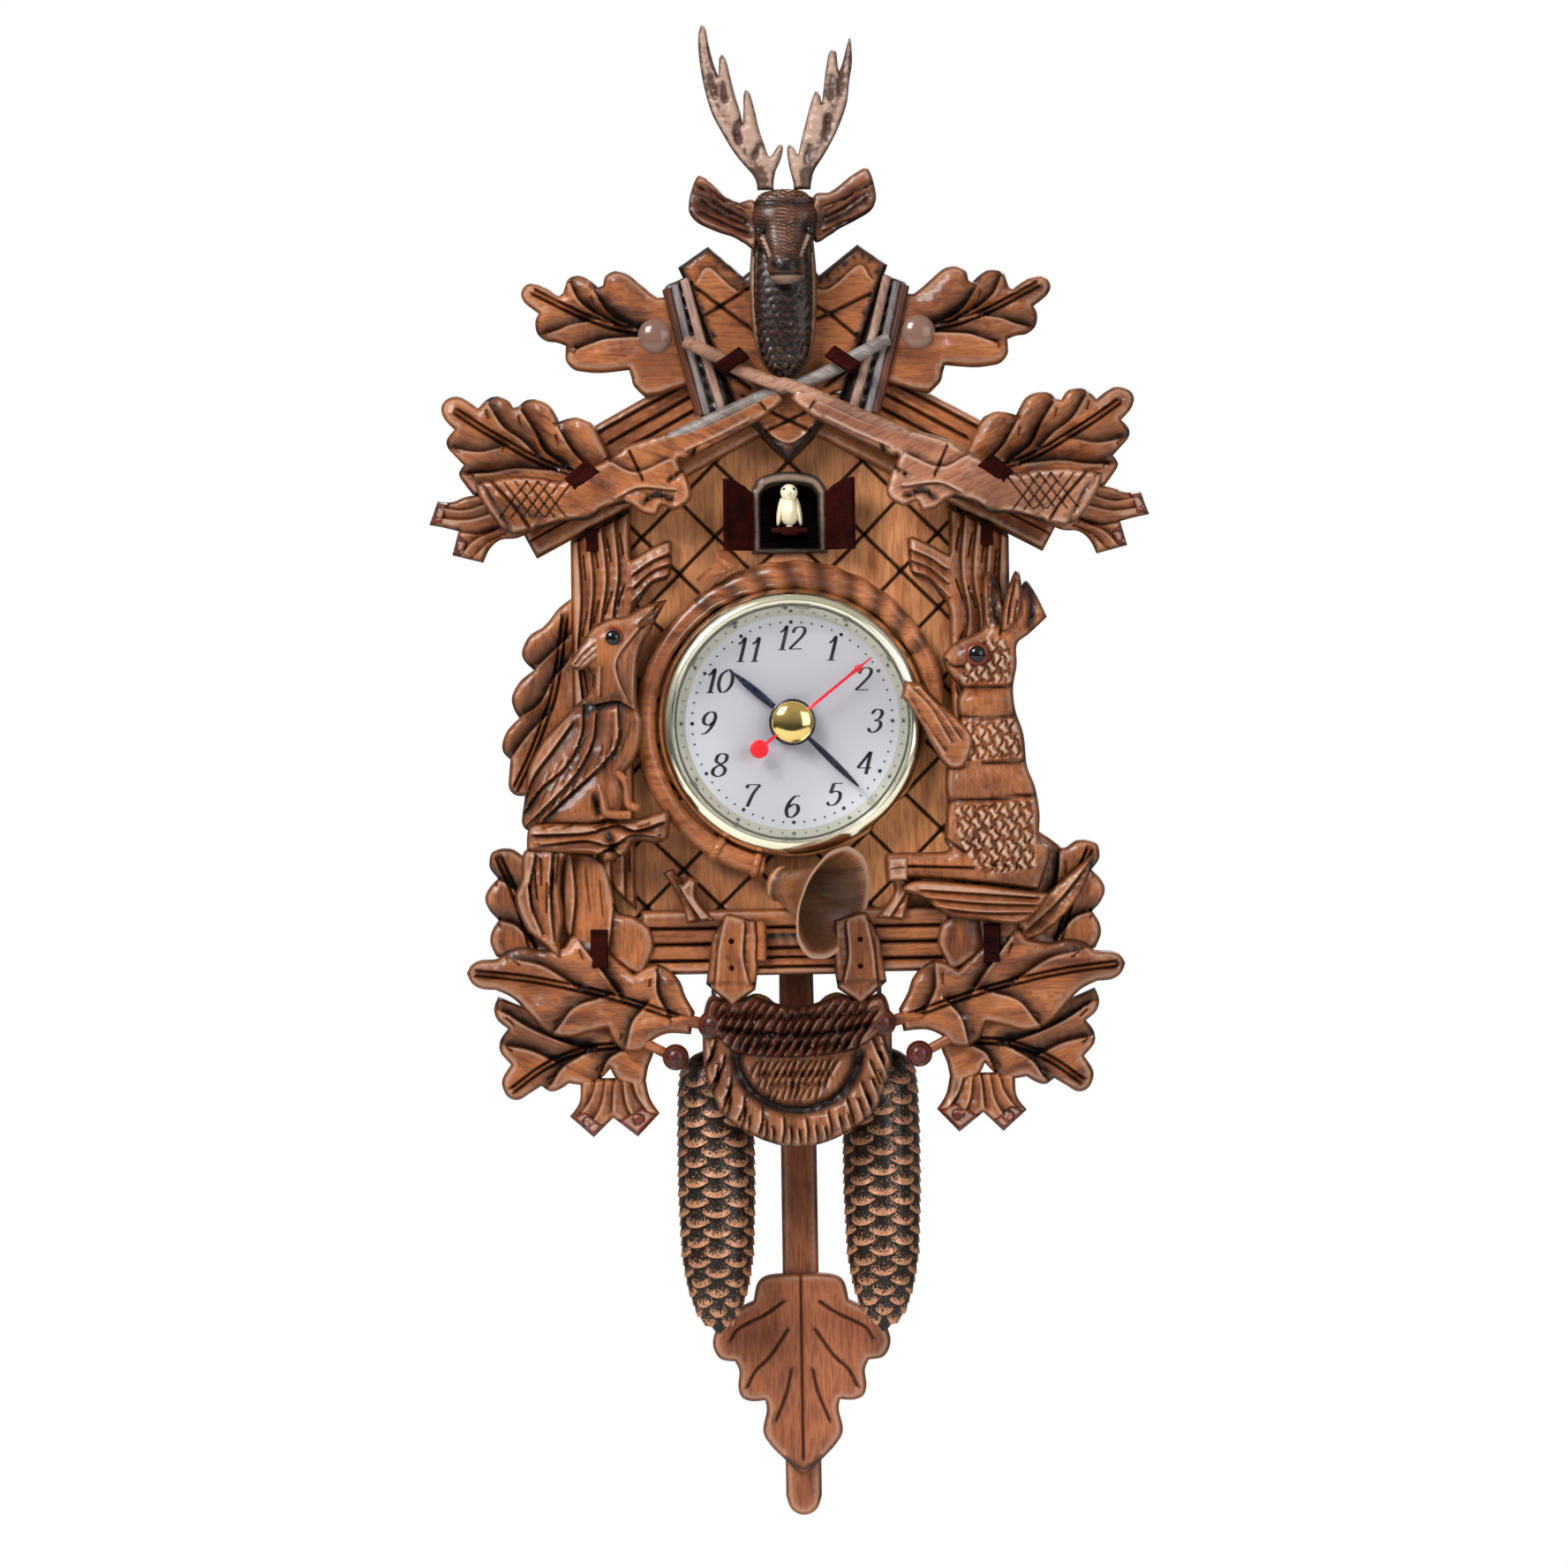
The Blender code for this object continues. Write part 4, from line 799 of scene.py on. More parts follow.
MAIN_LEAF = [
    (-104.3, -77.9, CORNER), (-102.7, -75.3), (-99.7, -73.9), (-94.6, -73.5), (-91.7, -71),
    (-86.5, -69.8), (-80, -70.8), (-73.3, -69.5, CORNER), (-71, -66.5), (-66.7, -66.2), (-62, -68.5),
    (-59.4, -71.7, CORNER), (-51.3, -79, CORNER), (-47.7, -76.8), (-43.3, -76), (-39.6, -78.3),
    (-36.7, -82), (-35.2, -86.3), (-32.3, -91.5, CORNER), (-33.7, -98.4, CORNER), (-41, -98),
    (-46.2, -100.3), (-49, -103.2), (-54.3, -103.6), (-57.9, -101), (-60, -95.9, CORNER), (-66, -97.3),
    (-71.9, -98.8), (-77.7, -98), (-80.7, -95.9), (-85, -91), (-90, -86), (-95.3, -83.4, CORNER),
    (-99.7, -83), (-102.7, -81.2),
]
MAIN_VEINS = [
    [(-101, -78), (-85, -80), (-68, -83.5), (-52, -88), (-36, -93.5)],
    [(-90, -73.5), (-80, -76), (-70, -82.5)], [(-68, -69), (-62, -77), (-56, -86)],
    [(-44, -79), (-44, -85), (-41, -91.5)], [(-76, -96), (-70, -89), (-60, -86)],
    [(-54, -101), (-52, -94), (-48, -89.5)],
]
MAIN_SWELLS = [
    [(-97, -76.5), (-86, -76)], [(-76, -75), (-66, -73)], [(-52, -83), (-42, -82.5)],
    [(-80, -90), (-66, -92)], [(-52, -98), (-42, -94.5)],
]
LOW_LEAF = [
    (-83, -90), (-94.6, -85.6, CORNER), (-96, -89.3), (-95, -93), (-91.7, -95.9, CORNER), (-94.2, -99.5),
    (-94.2, -103.2), (-90.9, -107.2, CORNER), (-93.5, -111.3), (-93.7, -114.2), (-92, -117.5),
    (-88.7, -118.5), (-85, -116.4), (-81.4, -114.2, CORNER), (-78.5, -116), (-75.5, -115.3),
    (-72.6, -113.5, CORNER), (-66, -114.2), (-62.3, -112), (-59.4, -109, CORNER), (-57.2, -112.7),
    (-52, -114.6), (-49, -115), (-47.5, -109), (-46, -102), (-55, -95), (-70, -92),
]
LOW_VEINS = [
    [(-90, -115), (-80, -108), (-68, -103), (-56, -101.5)], [(-92.5, -101), (-84, -103), (-77, -106.5)],
    [(-93, -90.5), (-82, -97), (-68, -102.5)], [(-78, -113.5), (-74, -108), (-66, -103.5)],
    [(-62, -110.5), (-60, -106), (-56, -103.5)],
]
LOW_TWIG = [
    (-69, -112, CORNER), (-69.3, -119.3), (-72.5, -124, CORNER), (-65, -130.7, CORNER),
    (-58.7, -124.6, CORNER), (-51, -130.7, CORNER), (-44, -123.4, CORNER), (-47, -118.6),
    (-48.4, -112, CORNER),
]
LOW_TWIG_CUTS = [
    [(-70, -124.5), (-65.5, -118), (-64, -113)], [(-66.5, -127.5), (-62.5, -120.5), (-61, -113)],
    [(-47, -124), (-51, -118), (-52.5, -113)], [(-51, -127.5), (-54.5, -120.5), (-55.5, -113)],
    [(-59, -122.5), (-58.5, -116), (-58, -112.5)],
]
EAVE_TWIG_ENDS = [
    [(-113.6, 64.4), (-111.2, 71.3), (-107.4, 70.8), (-109.6, 64.2)],
    [(-106.6, 54.7), (-104.5, 61.5), (-101.6, 58.8), (-103.2, 54.2)],
]
LOW_TWIG_ENDS = [
    [(-72.2, -124.1), (-65, -130.3), (-61.6, -127), (-67.5, -122)],
    [(-57.6, -125.4), (-51, -130.3), (-44.5, -123.6), (-49.6, -121.2)],
]
STUMP = [
    (-73, -39, CORNER), (-70, -40), (-64, -41), (-59.4, -45), (-57.2, -54), (-56, -59.2), (-51.3, -60.7),
    (-46.2, -64.3), (-44.7, -70), (-46.2, -74.6), (-50, -79.4), (-60, -73), (-72, -67), (-74, -56),
]


def leaf(name, outline, veins, swells, back, front, material, sign, **more):
    """A leaf: a midrib, lobes folded one behind another from the side veins, and a few finer nicks."""
    features = [swell(path, 7, 1.6) for path in swells]
    features.append(vein(veins[0]))
    for path in veins[1:]:
        features.append(fold(path, 7, 2.6, 0.8))
        (ax, ay), (bx, by) = path[0][:2], path[1][:2]
        nick = [(ax * 0.7 + bx * 0.3 - 2.2, ay * 0.7 + by * 0.3),
                ((ax + bx) / 2 - 2.4, (ay + by) / 2 - 0.8)]
        features.append(cut(nick, 0.6, 0.7, 0.6))
    return relief(name, outline, back, front, features, material, side=sign, edge=3.6, rim=0.5, step=1.3,
                  **more)


def end_grain(name, corners, back, front, material, sign):
    """The sawn end of a twig, with a growth ring cut into it."""
    across = sum(point[0] for point in corners) / len(corners)
    up = sum(point[1] for point in corners) / len(corners)
    ring = [(across + 1.7 * cos(a), up + 1.7 * sin(a)) for a in np.linspace(0, 5.9, 12)]
    return relief(name, [(*point, CORNER) for point in corners], back, front, [cut(ring, 0.5, 0.4, 0.8)],
                  material, side=sign, edge=0.8, step=1.1, rim=0.7, waves=0.03)


def make_leaves():
    for side, sign in SIDES:
        tilted = carved_tilt if sign > 0 else carved_back
        upper = leaf(f"upper_leaf_{side}", UPPER_LEAF, UPPER_VEINS, UPPER_SWELLS, SECOND, SECOND + 5.5,
                     carved, sign)
        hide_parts(f"leaf_upper_{side}")
        boss = lump(f"leaf_boss_{side}", (-41.5 * sign, 122.5, SECOND + 4.6), (5.6, 5.8, 3.2), boss_paint)
        eave = leaf(f"eave_leaf_{side}", EAVE_LEAF, EAVE_VEINS, EAVE_SWELLS, SECOND, SECOND + 5,
                    tilted, sign)
        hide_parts(f"leaf_eave_{side}")
        relief(f"eave_twig_{side}", EAVE_TWIG, SECOND - 0.5, SECOND + 4.2,
               [fold(path, 3, 1.4, 0.5) for path in EAVE_TWIG_CUTS], carved, side=sign)
        for number, corners in enumerate(EAVE_TWIG_ENDS):
            end_grain(f"eave_twig_end_{side}_{number}", corners, SECOND, SECOND + 4.6, berry_wood, sign)
        back = leaf(f"back_leaf_{side}", BACK_LEAF, BACK_VEINS, [], FIRST, FIRST + 5, upright, sign)
        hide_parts(f"leaf_lower_{side}")
        leaf(f"low_leaf_{side}", LOW_LEAF, LOW_VEINS, [], FIRST, FIRST + 5.2, tilted, sign)
        relief(f"low_twig_{side}", LOW_TWIG, FIRST + 0.5, FIRST + 4.5,
               [fold(path, 3, 1.4, 0.5) for path in LOW_TWIG_CUTS], upright, side=sign)
        for number, corners in enumerate(LOW_TWIG_ENDS):
            end_grain(f"low_twig_end_{side}_{number}", corners, FIRST + 1, FIRST + 5, berry_wood, sign)
        leaf(f"main_leaf_{side}", MAIN_LEAF, MAIN_VEINS, MAIN_SWELLS, FIRST + 3, FIRST + 10, carved, sign)
        stump = [fold([(-57.6, -58), (-58.6, -66), (-60, -73)], 5, 1.6, 0.7),
                 fold([(-70.5, -42), (-69.6, -54), (-71, -66)], 3.4, 1.8, 0.7),
                 cut([(-66, -46), (-65, -58)], 0.5, 0.5, 0.5),
                 cut([(-61.6, -50), (-61, -60)], 0.5, 0.5, 0.5)]
        relief(f"stump_{side}", STUMP, FIRST + 2, FIRST + 9, stump, upright, side=sign, edge=3)
        for number, path in enumerate(([(-44, -96), (-36, -94), (-29.5, -95.2)],
                                       [(-52, -98.5), (-45, -102.5), (-40, -105)])):
            stem = [(x * sign, z, FIRST + 8) for x, z in along(path, 1)]
            swept(f"berry_stem_{side}_{number}", stem, 1.9 - 0.3 * number, carved, sides=14)
        for number, (across, up, radius) in enumerate(((-26.8, -95.4, 4.7), (-38.5, -105.4, 4.3))):
            make_berry(f"berry_{side}_{number}", across * sign, up, FIRST + 11.5, radius)
    side_leaf = leaf("side_leaf_left", SIDE_LEAF, SIDE_VEINS, [], FIRST, FIRST + 6, upright, 1)
    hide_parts("leaf_side_left")


# ---------------------------------------------------------------- case and crest


def make_case():
    finish_cad(case_wood, "side_left", "side_right", "roof_left", "roof_right")
    finish_cad(plain_wood, "bottom_board", "back_board", "back_door")
    finish_cad(steel, "hanger_plate", "rotor")
    finish_cad(black, "speaker", "setting_knob", "movement_case", "movement_cover")
    finish_cad(gear_white, "hour_wheel", "minute_wheel", "centre_wheel", "third_wheel", "second_wheel")
    finish_cad(brass, "minute_arbor")
    finish_cad(board_green, "circuit_board")
    finish_cad(cell_wrap, "battery_cell_inner", "battery_cell_outer")
    finish_cad(dark_wood, "cuckoo_carriage")
    pitch = 23.5
    gable = [(-69.5, -79.5, CORNER), (69.5, -79.5, CORNER), (69.5, 82, CORNER),
             (0, 119.5, CORNER), (-69.5, 82, CORNER)]
    grooves = []
    for step in range(-7, 9):
        offset = 59.3 + pitch * step
        for sign in (1, -1):
            start = (-69.5, offset + 69.5 * sign)
            end = (69.5, offset - 69.5 * sign)
            grooves.append(cut([start, end], 0.85, 1.2, 1))
    doorway = [(-9, 55.3, CORNER), (9, 55.3, CORNER), (9, 72, CORNER), (6.4, 74.8),
               (0, 75.8), (-6.4, 74.8), (-9, 72, CORNER)]
    shaft = [(4.7 * cos(a), 4.7 * sin(a)) for a in np.linspace(0, 2 * pi, 12, False)]
    panel = relief("panel", gable, PANEL_FRONT - 5, PANEL_FRONT, grooves, panel_wood, edge=0.6, step=3.6,
                   rim=0.9, holes=(doorway, shaft), waves=0, fine=0.9)
    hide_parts("front_panel")
    for side, sign in SIDES:
        plank = [(-0.2, 128.2, CORNER), (-93.4, 77.5, CORNER), (-80.2, 53.1, CORNER), (-0.2, 95.2, CORNER)]
        flutes = [[(-60, 92.5), (-20, 114.5)], [(-56.5, 89.3), (-20, 109.4)], [(-53, 86.2), (-20, 104.3)],
                  [(-49.5, 83.2), (-20, 99.3)]]
        features = [cut(path, 0.9, 1.5) for path in flutes]
        features += [cut([(-86, 56.6), (-1, 102)], 0.6, 0.8)]
        tilted = carved_back if sign > 0 else carved_tilt
        barge = relief(f"barge_{side}", plank, FIRST, FIRST + 6.5, features, tilted, side=sign, edge=1.5)
        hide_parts(f"bargeboard_{side}")


def make_berry(name, across, up, forward, radius):
    """A ball of wood with rings cut round the axis that faces forward, painted darker between the rings as
    painted shade.
    """
    profile, shades = [], []
    for index in range(25):
        turn = pi * index / 24
        groove = 0.5 + 0.5 * cos(turn * 14)
        pole = index in (0, 24)
        girth = 0 if pole else radius * sin(turn) * (0.94 + 0.06 * groove)
        profile.append((girth, forward + radius * cos(turn)))
        shades += [0.25 + 0.65 * groove] * (1 if pole else 32)
    berry = lathe(name, profile, (across, up), berry_wood, steps=32, shade=shades)


SHIELD = [
    (-34, 144.3, CORNER), (-24.3, 150.9, CORNER), (-13.3, 141.3, CORNER), (-6, 146.5), (0, 147.5),
    (6, 146.5), (10.7, 141.3, CORNER), (23, 150.9, CORNER), (32.3, 144.3, CORNER), (30.6, 139, CORNER),
    (16.5, 99, CORNER), (0, 82, CORNER), (-16.5, 99, CORNER), (-31.6, 139, CORNER),
]
BAND = [
    (-39, 136.5, CORNER), (-37.5, 138.8), (-34.5, 140), (-31.5, 141.4, CORNER), (-29.6, 138.8),
    (-17.4, 98.4, CORNER), (-21, 98), (-25.3, 96), (-27.6, 96.6, CORNER),
]
RIFLE_STOCK = [
    (-98.9, 77, CORNER), (-98, 73), (-94.8, 67.5), (-91, 62.7), (-87, 60.5, CORNER), (-78.8, 62),
    (-71.2, 64.5), (-63.3, 64.8), (-59, 68), (-54.6, 69.2), (-50.3, 69.6), (-46.5, 66.8), (-42, 66),
    (-40, 69), (-36, 67.4), (-31, 71), (-31.4, 76), (-33.5, 80.5), (-34.5, 83.5), (-30, 84.4),
    (-10, 94.6), (-1, 101.4, CORNER), (-2.6, 106.3, CORNER), (-10, 102.6), (-25, 95.8), (-38, 92),
    (-50.3, 88.2), (-56, 84.5), (-70.5, 77.6), (-77.7, 78.4), (-85.6, 78.8), (-92.8, 78),
]


def make_crest():
    crosses = [
        [(-30, 139), (-20.7, 131.7), (-10, 123.5)], [(-27, 128), (-20.7, 131.7), (-10, 138)],
        [(9, 131.5), (14, 128.5), (25, 119)], [(9, 127), (14, 129), (27, 135)],
        [(-14, 103), (-4, 97.5), (7, 92)], [(-7, 92), (5, 97.5), (15, 104)],
        [(-28, 118), (-20, 112), (-12, 106)], [(12, 106), (20, 112), (27, 118)],
    ]
    features = [cut(path, 0.9, 1.1) for path in crosses]
    features += [sink([(-15.5, 97.5), (0, 84), (15.5, 97.5)], 2.6, 1.2, 0.95),
                 fold([(13, 98), (0, 88), (-13, 98)], 4, 1.2, 0.4),
                 fold([(-28, 140), (-24, 144), (-14, 136.5), (0, 142), (12, 136.5), (23, 144),
                       (27, 140)], 4, 1.2, 0.4)]
    shield = relief("shield", SHIELD, SECOND, SECOND + 5.7, features, carved, edge=3, rim=0.35,
                    dark_rim=2.4)
    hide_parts("crest_shield")
    for side, sign in SIDES:
        features = [sink([(-33.6, 139.6), (-23.4, 97.4)], 1, 1.6, 1),
                    sink([(-30.6, 140), (-18.6, 98.6)], 1, 1.6, 1)]
        relief(f"crest_band_{side}", BAND, SECOND + 1, SECOND + 6, features, frame_wood, side=sign,
               edge=1.2)
        for name, path, radius, material in (
            ("outer", [(-37.6, 137.4), (-33, 117.5), (-27.8, 97.4)], 1.5, band_dark),
            # The grey ridge's colour is a painted highlight on the dark band.
            ("grey", [(-35.2, 138.6), (-31, 119.5), (-25.6, 97.6)], 1.25, band_grey_highlight),
            ("pink", [(-32, 140.2), (-26.8, 120), (-20.6, 98.6)], 1.45, band_pink),
        ):
            line = along([(x * sign, z) for x, z in path], 1)
            ridge = [(x, z, SECOND + 6) for x, z in line]
            swept(f"crest_ridge_{name}_{side}", ridge, radius, material, sides=14)
        make_rifle(side, sign)


def make_rifle(side, sign):
    """One shotgun: its stock with a chequered grip, its barrel and its two pegs."""
    back = SECOND + (6 if sign > 0 else 11)
    diamonds = []
    for step in range(-2, 7):
        start = -91 + step * 3.6
        diamonds += [[(start, 66), (start + 8.5, 77)], [(start + 6, 66), (start - 2.5, 77)]]
    kept = [path for path in diamonds if all(-91.5 < x < -68 for x, _ in path)]
    features = [
        swell([(-92, 71), (-75, 71.5), (-60, 76)], 8, 1.4),
        sink([(-97.6, 77), (-92.6, 70.5), (-88.4, 62)], 1, 0.9, 0.95),
        cut([(-94, 77.5), (-86.5, 69), (-82, 62.5)], 0.8, 1.2),
        fold([(-56, 83), (-48, 79.5), (-38, 83.5)], 3, 1.3, 0.6),
        fold([(-36, 73.5), (-47, 74.5), (-54, 71.5)], 3, 1.2, 0.6),
        sink([(-46, 69.6), (-42, 72.2), (-37, 70.2)], 1.5, 1.8, 1),
        sink([(-29.5, 86.4), (-33, 80.4), (-38, 76.6)], 1, 1.6, 1),
        cut([(-50, 86), (-46, 77)], 0.7, 1),
        sink([(-80, 62.6), (-65, 65.4), (-52, 70.4)], 1.2, 0.9, 0.9),
        cut([(-38, 90.6), (-25, 94.4), (-3.5, 104.6)], 0.7, 1.2),
        fold([(-12, 95.4), (-22, 90.4), (-32, 86)], 2.4, 0.8, 0.5),
        cut([(-7, 98.6), (-9.5, 102.2)], 0.6, 0.8),
    ]
    features += [cut(path, 0.5, 0.6, 0.75) for path in kept]
    tilted = carved_tilt if sign > 0 else stock_tan
    stock = relief(f"rifle_stock_{side}", RIFLE_STOCK, back, back + 4.6, features, tilted,
                   side=sign, edge=1.8, step=1.3)
    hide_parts(f"rifle_{side}")
    line = along([(-38, 89.4), (-3, 105), (3, 106.4), (15, 111.2), (21, 114.8), (32.4, 120.6)], 1)
    barrel = [(x * sign, z, back + 2.4) for x, z in line]
    swept(f"rifle_barrel_{side}", barrel, 2.15, barrel_grey if sign > 0 else barrel_tan, sides=20)
    for number, (corners, top) in enumerate((
        ([(-23.3, 112.7, CORNER), (-15, 118.3, CORNER), (-11.8, 115, CORNER), (-19.5, 109.5, CORNER)],
         SECOND + 17.6),
        ([(-70.8, 77.8, CORNER), (-64, 83.6, CORNER), (-59.3, 79.6, CORNER), (-67.6, 73.5, CORNER)],
         back + 6),
    )):
        grain = [cut([(corners[0][0] + 2, corners[0][1] - 1.4), (corners[1][0] + 1, corners[1][1] - 1.8)],
                     0.5, 0.3)]
        relief(f"peg_{side}_{number}", corners, back, top, grain, dark_wood, side=sign,
               edge=0.6, step=1.6, rim=0.9, waves=0.02)


# ---------------------------------------------------------------- deer


HEAD_ROWS = [
    (137.4, 2.4, 95, 88), (139, 4.6, 97.2, 86.5), (142, 5.6, 98.2, 85.5), (145.5, 6, 97.6, 84.5),
    (149, 7.6, 95.2, 82), (152.5, 9.4, 93.4, 80), (156, 10.2, 92.6, 79), (160, 10.3, 92.2, 79),
    (164, 9.4, 91, 79.6), (166.4, 7.2, 89.4, 81), (167.6, 3.4, 87.5, 83),
]
NECK_ROWS = [
    (109, 2, 82.5, 79), (111, 5, 84.5, 78.6), (115, 7.4, 86, 78.4), (121, 8.6, 87, 78.4),
    (129, 9, 87.4, 78.4), (137, 8.8, 87, 78.4), (145, 8.4, 86, 78.4), (152, 7.6, 85, 78.6),
]


def stacked(name, rows, material, shape, sides=48, per_row=5, lean=0):
    """A form given by its half width, front and back at a few heights, smoothed between them."""
    rows = np.array(rows, float)
    ends = np.vstack([2 * rows[0] - rows[1], rows, 2 * rows[-1] - rows[-2]])
    smooth = []
    for p0, p1, p2, p3 in zip(ends, ends[1:], ends[2:], ends[3:]):
        smooth += bent(p0, p1, p2, p3, per_row)
    smooth.append(rows[-1])
    points, shades = [], []
    for up, half, front, back in smooth:
        for side in range(sides):
            turn = 2 * pi * side / sides
            across = half * copysign(abs(cos(turn)) ** 0.86, cos(turn))
            depth = (front + back) / 2 + (front - back) / 2 * copysign(
                abs(sin(turn)) ** 0.9, sin(turn))
            push, dark = shape(across, up, sin(turn))
            points.append((across * (1 + push * 0.05) + lean, up, depth + push * sin(turn)))
            shades.append(dark)
    return new_object(name, points, tube_faces(len(smooth), sides), material, "case", shades, 60)


NECK_BOARD = [
    (-10.5, 152, CORNER), (-11.4, 140), (-11, 126), (-9, 116), (-5.5, 110.5), (-0.8, 108.4), (4, 110.5),
    (7.6, 116), (9.4, 126), (9.8, 140), (9, 152, CORNER),
]


EARS = {
    "left": [
        (-9, 163.6), (-14, 164), (-18.5, 166), (-22.9, 170.3), (-26.5, 172.4), (-28, 171), (-29.5, 167),
        (-30.2, 163), (-29.8, 160.3), (-27, 157.3), (-21, 154.5), (-16.5, 153), (-13, 151), (-9, 149.5),
    ],
    "right": [
        (-9, 165), (-15, 167), (-21, 171.5), (-25.5, 174), (-27, 173), (-28.5, 168), (-28.8, 164),
        (-27, 160.5), (-22, 157.5), (-17, 155), (-14, 153), (-9, 151.5),
    ],
}


ANTLERS = {
    "left": [
        (-8.5, 167.5, CORNER), (-8.8, 170), (-10, 172.5), (-13, 176), (-16, 180), (-19.5, 186),
        (-22.5, 192), (-24.5, 199), (-25.8, 206), (-26.4, 212.5), (-26.2, 217.5), (-25.2, 219.8),
        (-24, 218.5), (-23.2, 214), (-21.8, 208), (-20.2, 203.5, CORNER), (-20, 207), (-19.8, 209.5),
        (-19, 210.4), (-17.8, 209), (-16.6, 204), (-15.2, 198), (-13.6, 192.5), (-12.8, 188.5, CORNER),
        (-12.5, 193), (-12.4, 197.5), (-11.6, 199.2), (-10.4, 198), (-9, 193), (-7.6, 186.5),
        (-5.8, 181), (-5, 178.5, CORNER), (-4, 178.2), (-2, 181), (-0.7, 181.8), (-0.2, 180.5),
        (-1, 177), (-2.6, 173.5), (-3.3, 170), (-3.3, 167.5, CORNER),
    ],
    "right": [
        (3, 167.5, CORNER), (2.8, 170), (1.8, 174), (1.1, 178.5), (1.2, 181), (2, 181.8), (3.2, 180.8),
        (4.5, 178.3, CORNER), (5.6, 183), (7.4, 190), (9, 195.5), (10.4, 198.4), (11.6, 197.2),
        (12.2, 194.5, CORNER), (12.8, 199), (13.6, 205), (14.6, 210), (15.8, 211.3), (17, 210.6),
        (17.4, 206.5), (17.8, 204.5, CORNER), (19, 207.5), (20.5, 213.2), (21.3, 215), (21.8, 212.5),
        (21.9, 207), (21, 201.5), (20.2, 195), (18.6, 190), (16.2, 184.5), (12.8, 178.5), (9.6, 173.5),
        (8.6, 170), (8.3, 167.5, CORNER),
    ],
}


ANTLER_HOLLOWS = {
    "left": [
        [(-21.6, 197.5), (-22.4, 200.5), (-22.8, 203)], [(-14.3, 183), (-14.4, 186), (-14, 189)],
        [(-9, 178), (-8.4, 180), (-7.5, 181.5)], [(-18, 196), (-18.8, 201)],
    ],
    "right": [
        [(18.2, 198), (18.5, 201), (18.6, 203)], [(13.5, 183.5), (13.8, 187), (14, 190)],
        [(7, 177), (7.6, 179), (8, 181)], [(14.6, 196), (15.4, 203)],
    ],
}


def deer_face(across, up, facing):
    """Hollows beside the muzzle, the brow and fine knife strokes of fur, with painted shade in the hollows.
    """
    stroke = sin(up * 5 + abs(across) * 1.3 + 2.6 * sin(across * 1.7))
    ahead = facing > 0
    push = 0.28 * stroke if ahead and up > 145 else 0
    cheek = exp(-(((abs(across) - 6.2) / 1.5) ** 2) - (((up - 147.5) / 5) ** 2))
    socket = exp(-(((abs(across) - 7.6) / 2.4) ** 2) - (((up - 155.2) / 2.4) ** 2))
    brow = exp(-(((up - 163) / 1.1) ** 2))
    push -= (1.3 * cheek + 0.9 * socket + 0.7 * brow) * ahead
    # Painted shade in the cheek, eye-socket and brow hollows, and lighter on the raised fur strokes.
    dark = 0.72 + 0.42 * stroke - (0.55 * brow + 0.45 * cheek + 0.6 * socket) * ahead
    if ahead and abs(abs(across) - 3.6 - (up - 142) * 0.36) < 0.75 and 142 < up < 156:
        dark = 1.3 + 0.15 * stroke
    if ahead and abs(across) < 2.6 and up > 147:
        dark += 0.18
    if facing > 0.1 and up < 146:
        nose = ((across / 4.6) ** 2 + ((up - 143.4) / 2.1) ** 2) < 1
        dark = 0.05 if nose else (1.2 if up < 141 else 0.75)
        if abs(up - 140.6) < 0.45:
            dark = 0.1
    return push, max(0, dark)


def deer_fur(across, up, facing):
    stroke = sin(up * 2.4 + 3.4 * sin(across * 1.1 + up * 0.35))
    # Painted shade in the grooves between fur strokes, lighter on the raised strokes.
    return 0.55 * stroke, 0.3 + 0.42 * stroke


